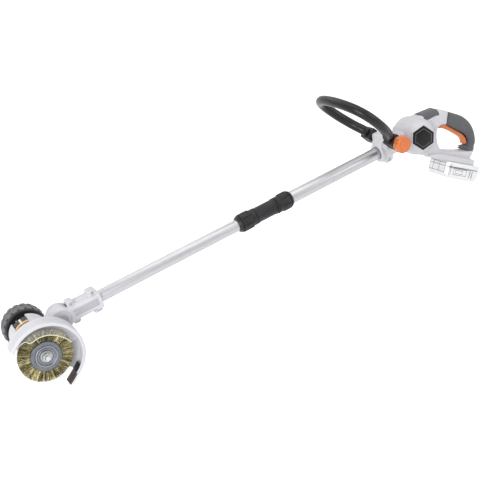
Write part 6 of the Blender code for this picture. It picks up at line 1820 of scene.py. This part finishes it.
def make_camera():
    turn = Matrix.Rotation(CAMERA_TURN.length, 4, CAMERA_TURN.normalized())
    seen = Matrix.Translation(CAMERA_SHIFT) @ turn
    data = bpy.data.cameras.new("camera")
    data.lens = CAMERA_LENS
    data.sensor_width = CAMERA_SENSOR
    data.clip_start, data.clip_end = CAMERA_CLIP
    camera = bpy.data.objects.new("camera", data)
    bpy.context.scene.collection.objects.link(camera)
    camera.matrix_world = TOOL @ seen.inverted()
    bpy.context.scene.camera = camera


def camera_paint(tree, plain, shown):
    """Mixes in another shader for what the camera sees, straight or in gloss or glass."""
    path = add_node(tree, "ShaderNodeLightPath")
    seen = path.outputs["Is Camera Ray"]
    for kind in ("Is Glossy Ray", "Is Transmission Ray"):
        either = add_node(tree, "ShaderNodeMath", operation="MAXIMUM")
        tree.links.new(seen, either.inputs[0])
        tree.links.new(path.outputs[kind], either.inputs[1])
        seen = either.outputs["Value"]
    mix = add_node(tree, "ShaderNodeMixShader")
    tree.links.new(seen, mix.inputs["Fac"])
    tree.links.new(plain, mix.inputs[1])
    tree.links.new(shown, mix.inputs[2])
    return mix.outputs["Shader"]


def make_stage():
    bm = bmesh.new()
    middle = lamp_place(ORIGIN)
    square = rectangle(-FLOOR_REACH, FLOOR_REACH, -FLOOR_REACH, FLOOR_REACH)
    bm.faces.new([bm.verts.new((middle.x + x, middle.y + y, 0)) for x, y in square])
    mesh = bpy.data.meshes.new("floor")
    bm.to_mesh(mesh)
    bm.free()
    floor = bpy.data.objects.new("floor", mesh)
    bpy.context.scene.collection.objects.link(floor)
    mat, tree, shader = node_tree("floor")
    set_shader(tree, shader, {}, {"Base Color": (0.80, 0.80, 0.80, 1.0), "Roughness": 0.9,
                                  "Specular IOR Level": 0.0})
    bright = add_node(tree, "ShaderNodeBsdfDiffuse", Color=(0.93, 0.93, 0.93, 1.0))
    lift = add_node(tree, "ShaderNodeEmission", Color=(1, 1, 1, 1), Strength=0.50)
    both = add_node(tree, "ShaderNodeAddShader")
    tree.links.new(bright.outputs["BSDF"], both.inputs[0])
    tree.links.new(lift.outputs["Emission"], both.inputs[1])
    shown = camera_paint(tree, shader.outputs["BSDF"], both.outputs["Shader"])
    tree.links.new(shown, tree.nodes["Material Output"].inputs["Surface"])
    mesh.materials.append(mat)


def make_world():
    world = bpy.data.worlds.new("studio")
    bpy.context.scene.world = world
    world.use_nodes = True
    tree = world.node_tree
    plain = tree.nodes["Background"]
    set_shader(tree, plain, {}, {"Color": (0.95, 0.97, 1.0, 1.0), "Strength": 0.50})
    white = add_node(tree, "ShaderNodeBackground", Color=(1, 1, 1, 1), Strength=1.0)
    shown = camera_paint(tree, plain.outputs["Background"], white.outputs["Background"])
    tree.links.new(shown, tree.nodes["World Output"].inputs["Surface"])


def make_lights():
    aim = lamp_place(ORIGIN)
    for name, offset, size, power in LAMPS:
        data = bpy.data.lights.new(name, "AREA")
        data.shape = "RECTANGLE"
        data.size, data.size_y = size
        data.energy = power
        lamp = bpy.data.objects.new(name, data)
        bpy.context.scene.collection.objects.link(lamp)
        lamp.location = lamp_place(offset)
        lamp.rotation_euler = (aim - lamp.location).to_track_quat("-Z", "Y").to_euler()


bpy.context.scene.view_settings.view_transform = "Standard"

for make in (make_camera, make_stage, make_world, make_lights, make_housing, make_cap,
             make_hood, make_visor, make_flap, make_motor, make_brush, make_discs,
             make_spindle, make_wheel, make_neck, make_pole, make_collar, make_loop, make_knob,
             make_bracket, make_casing, make_grip, make_trigger, make_top, make_battery):
    make()

INNER_FINISHES = {
    "steel": ("rotor", "sun_gear", "planet_gear_1", "planet_gear_2", "planet_gear_3",
              "spindle", "spindle_bearing"),
    "black": ("collet", "inner_lead", "switch", "terminal_block"),
    "board": ("circuit_board",),
    "cell": ("cell_pack",),
}
for finish, nodes in INNER_FINISHES.items():
    for node in nodes:
        dress_node(node, finish)
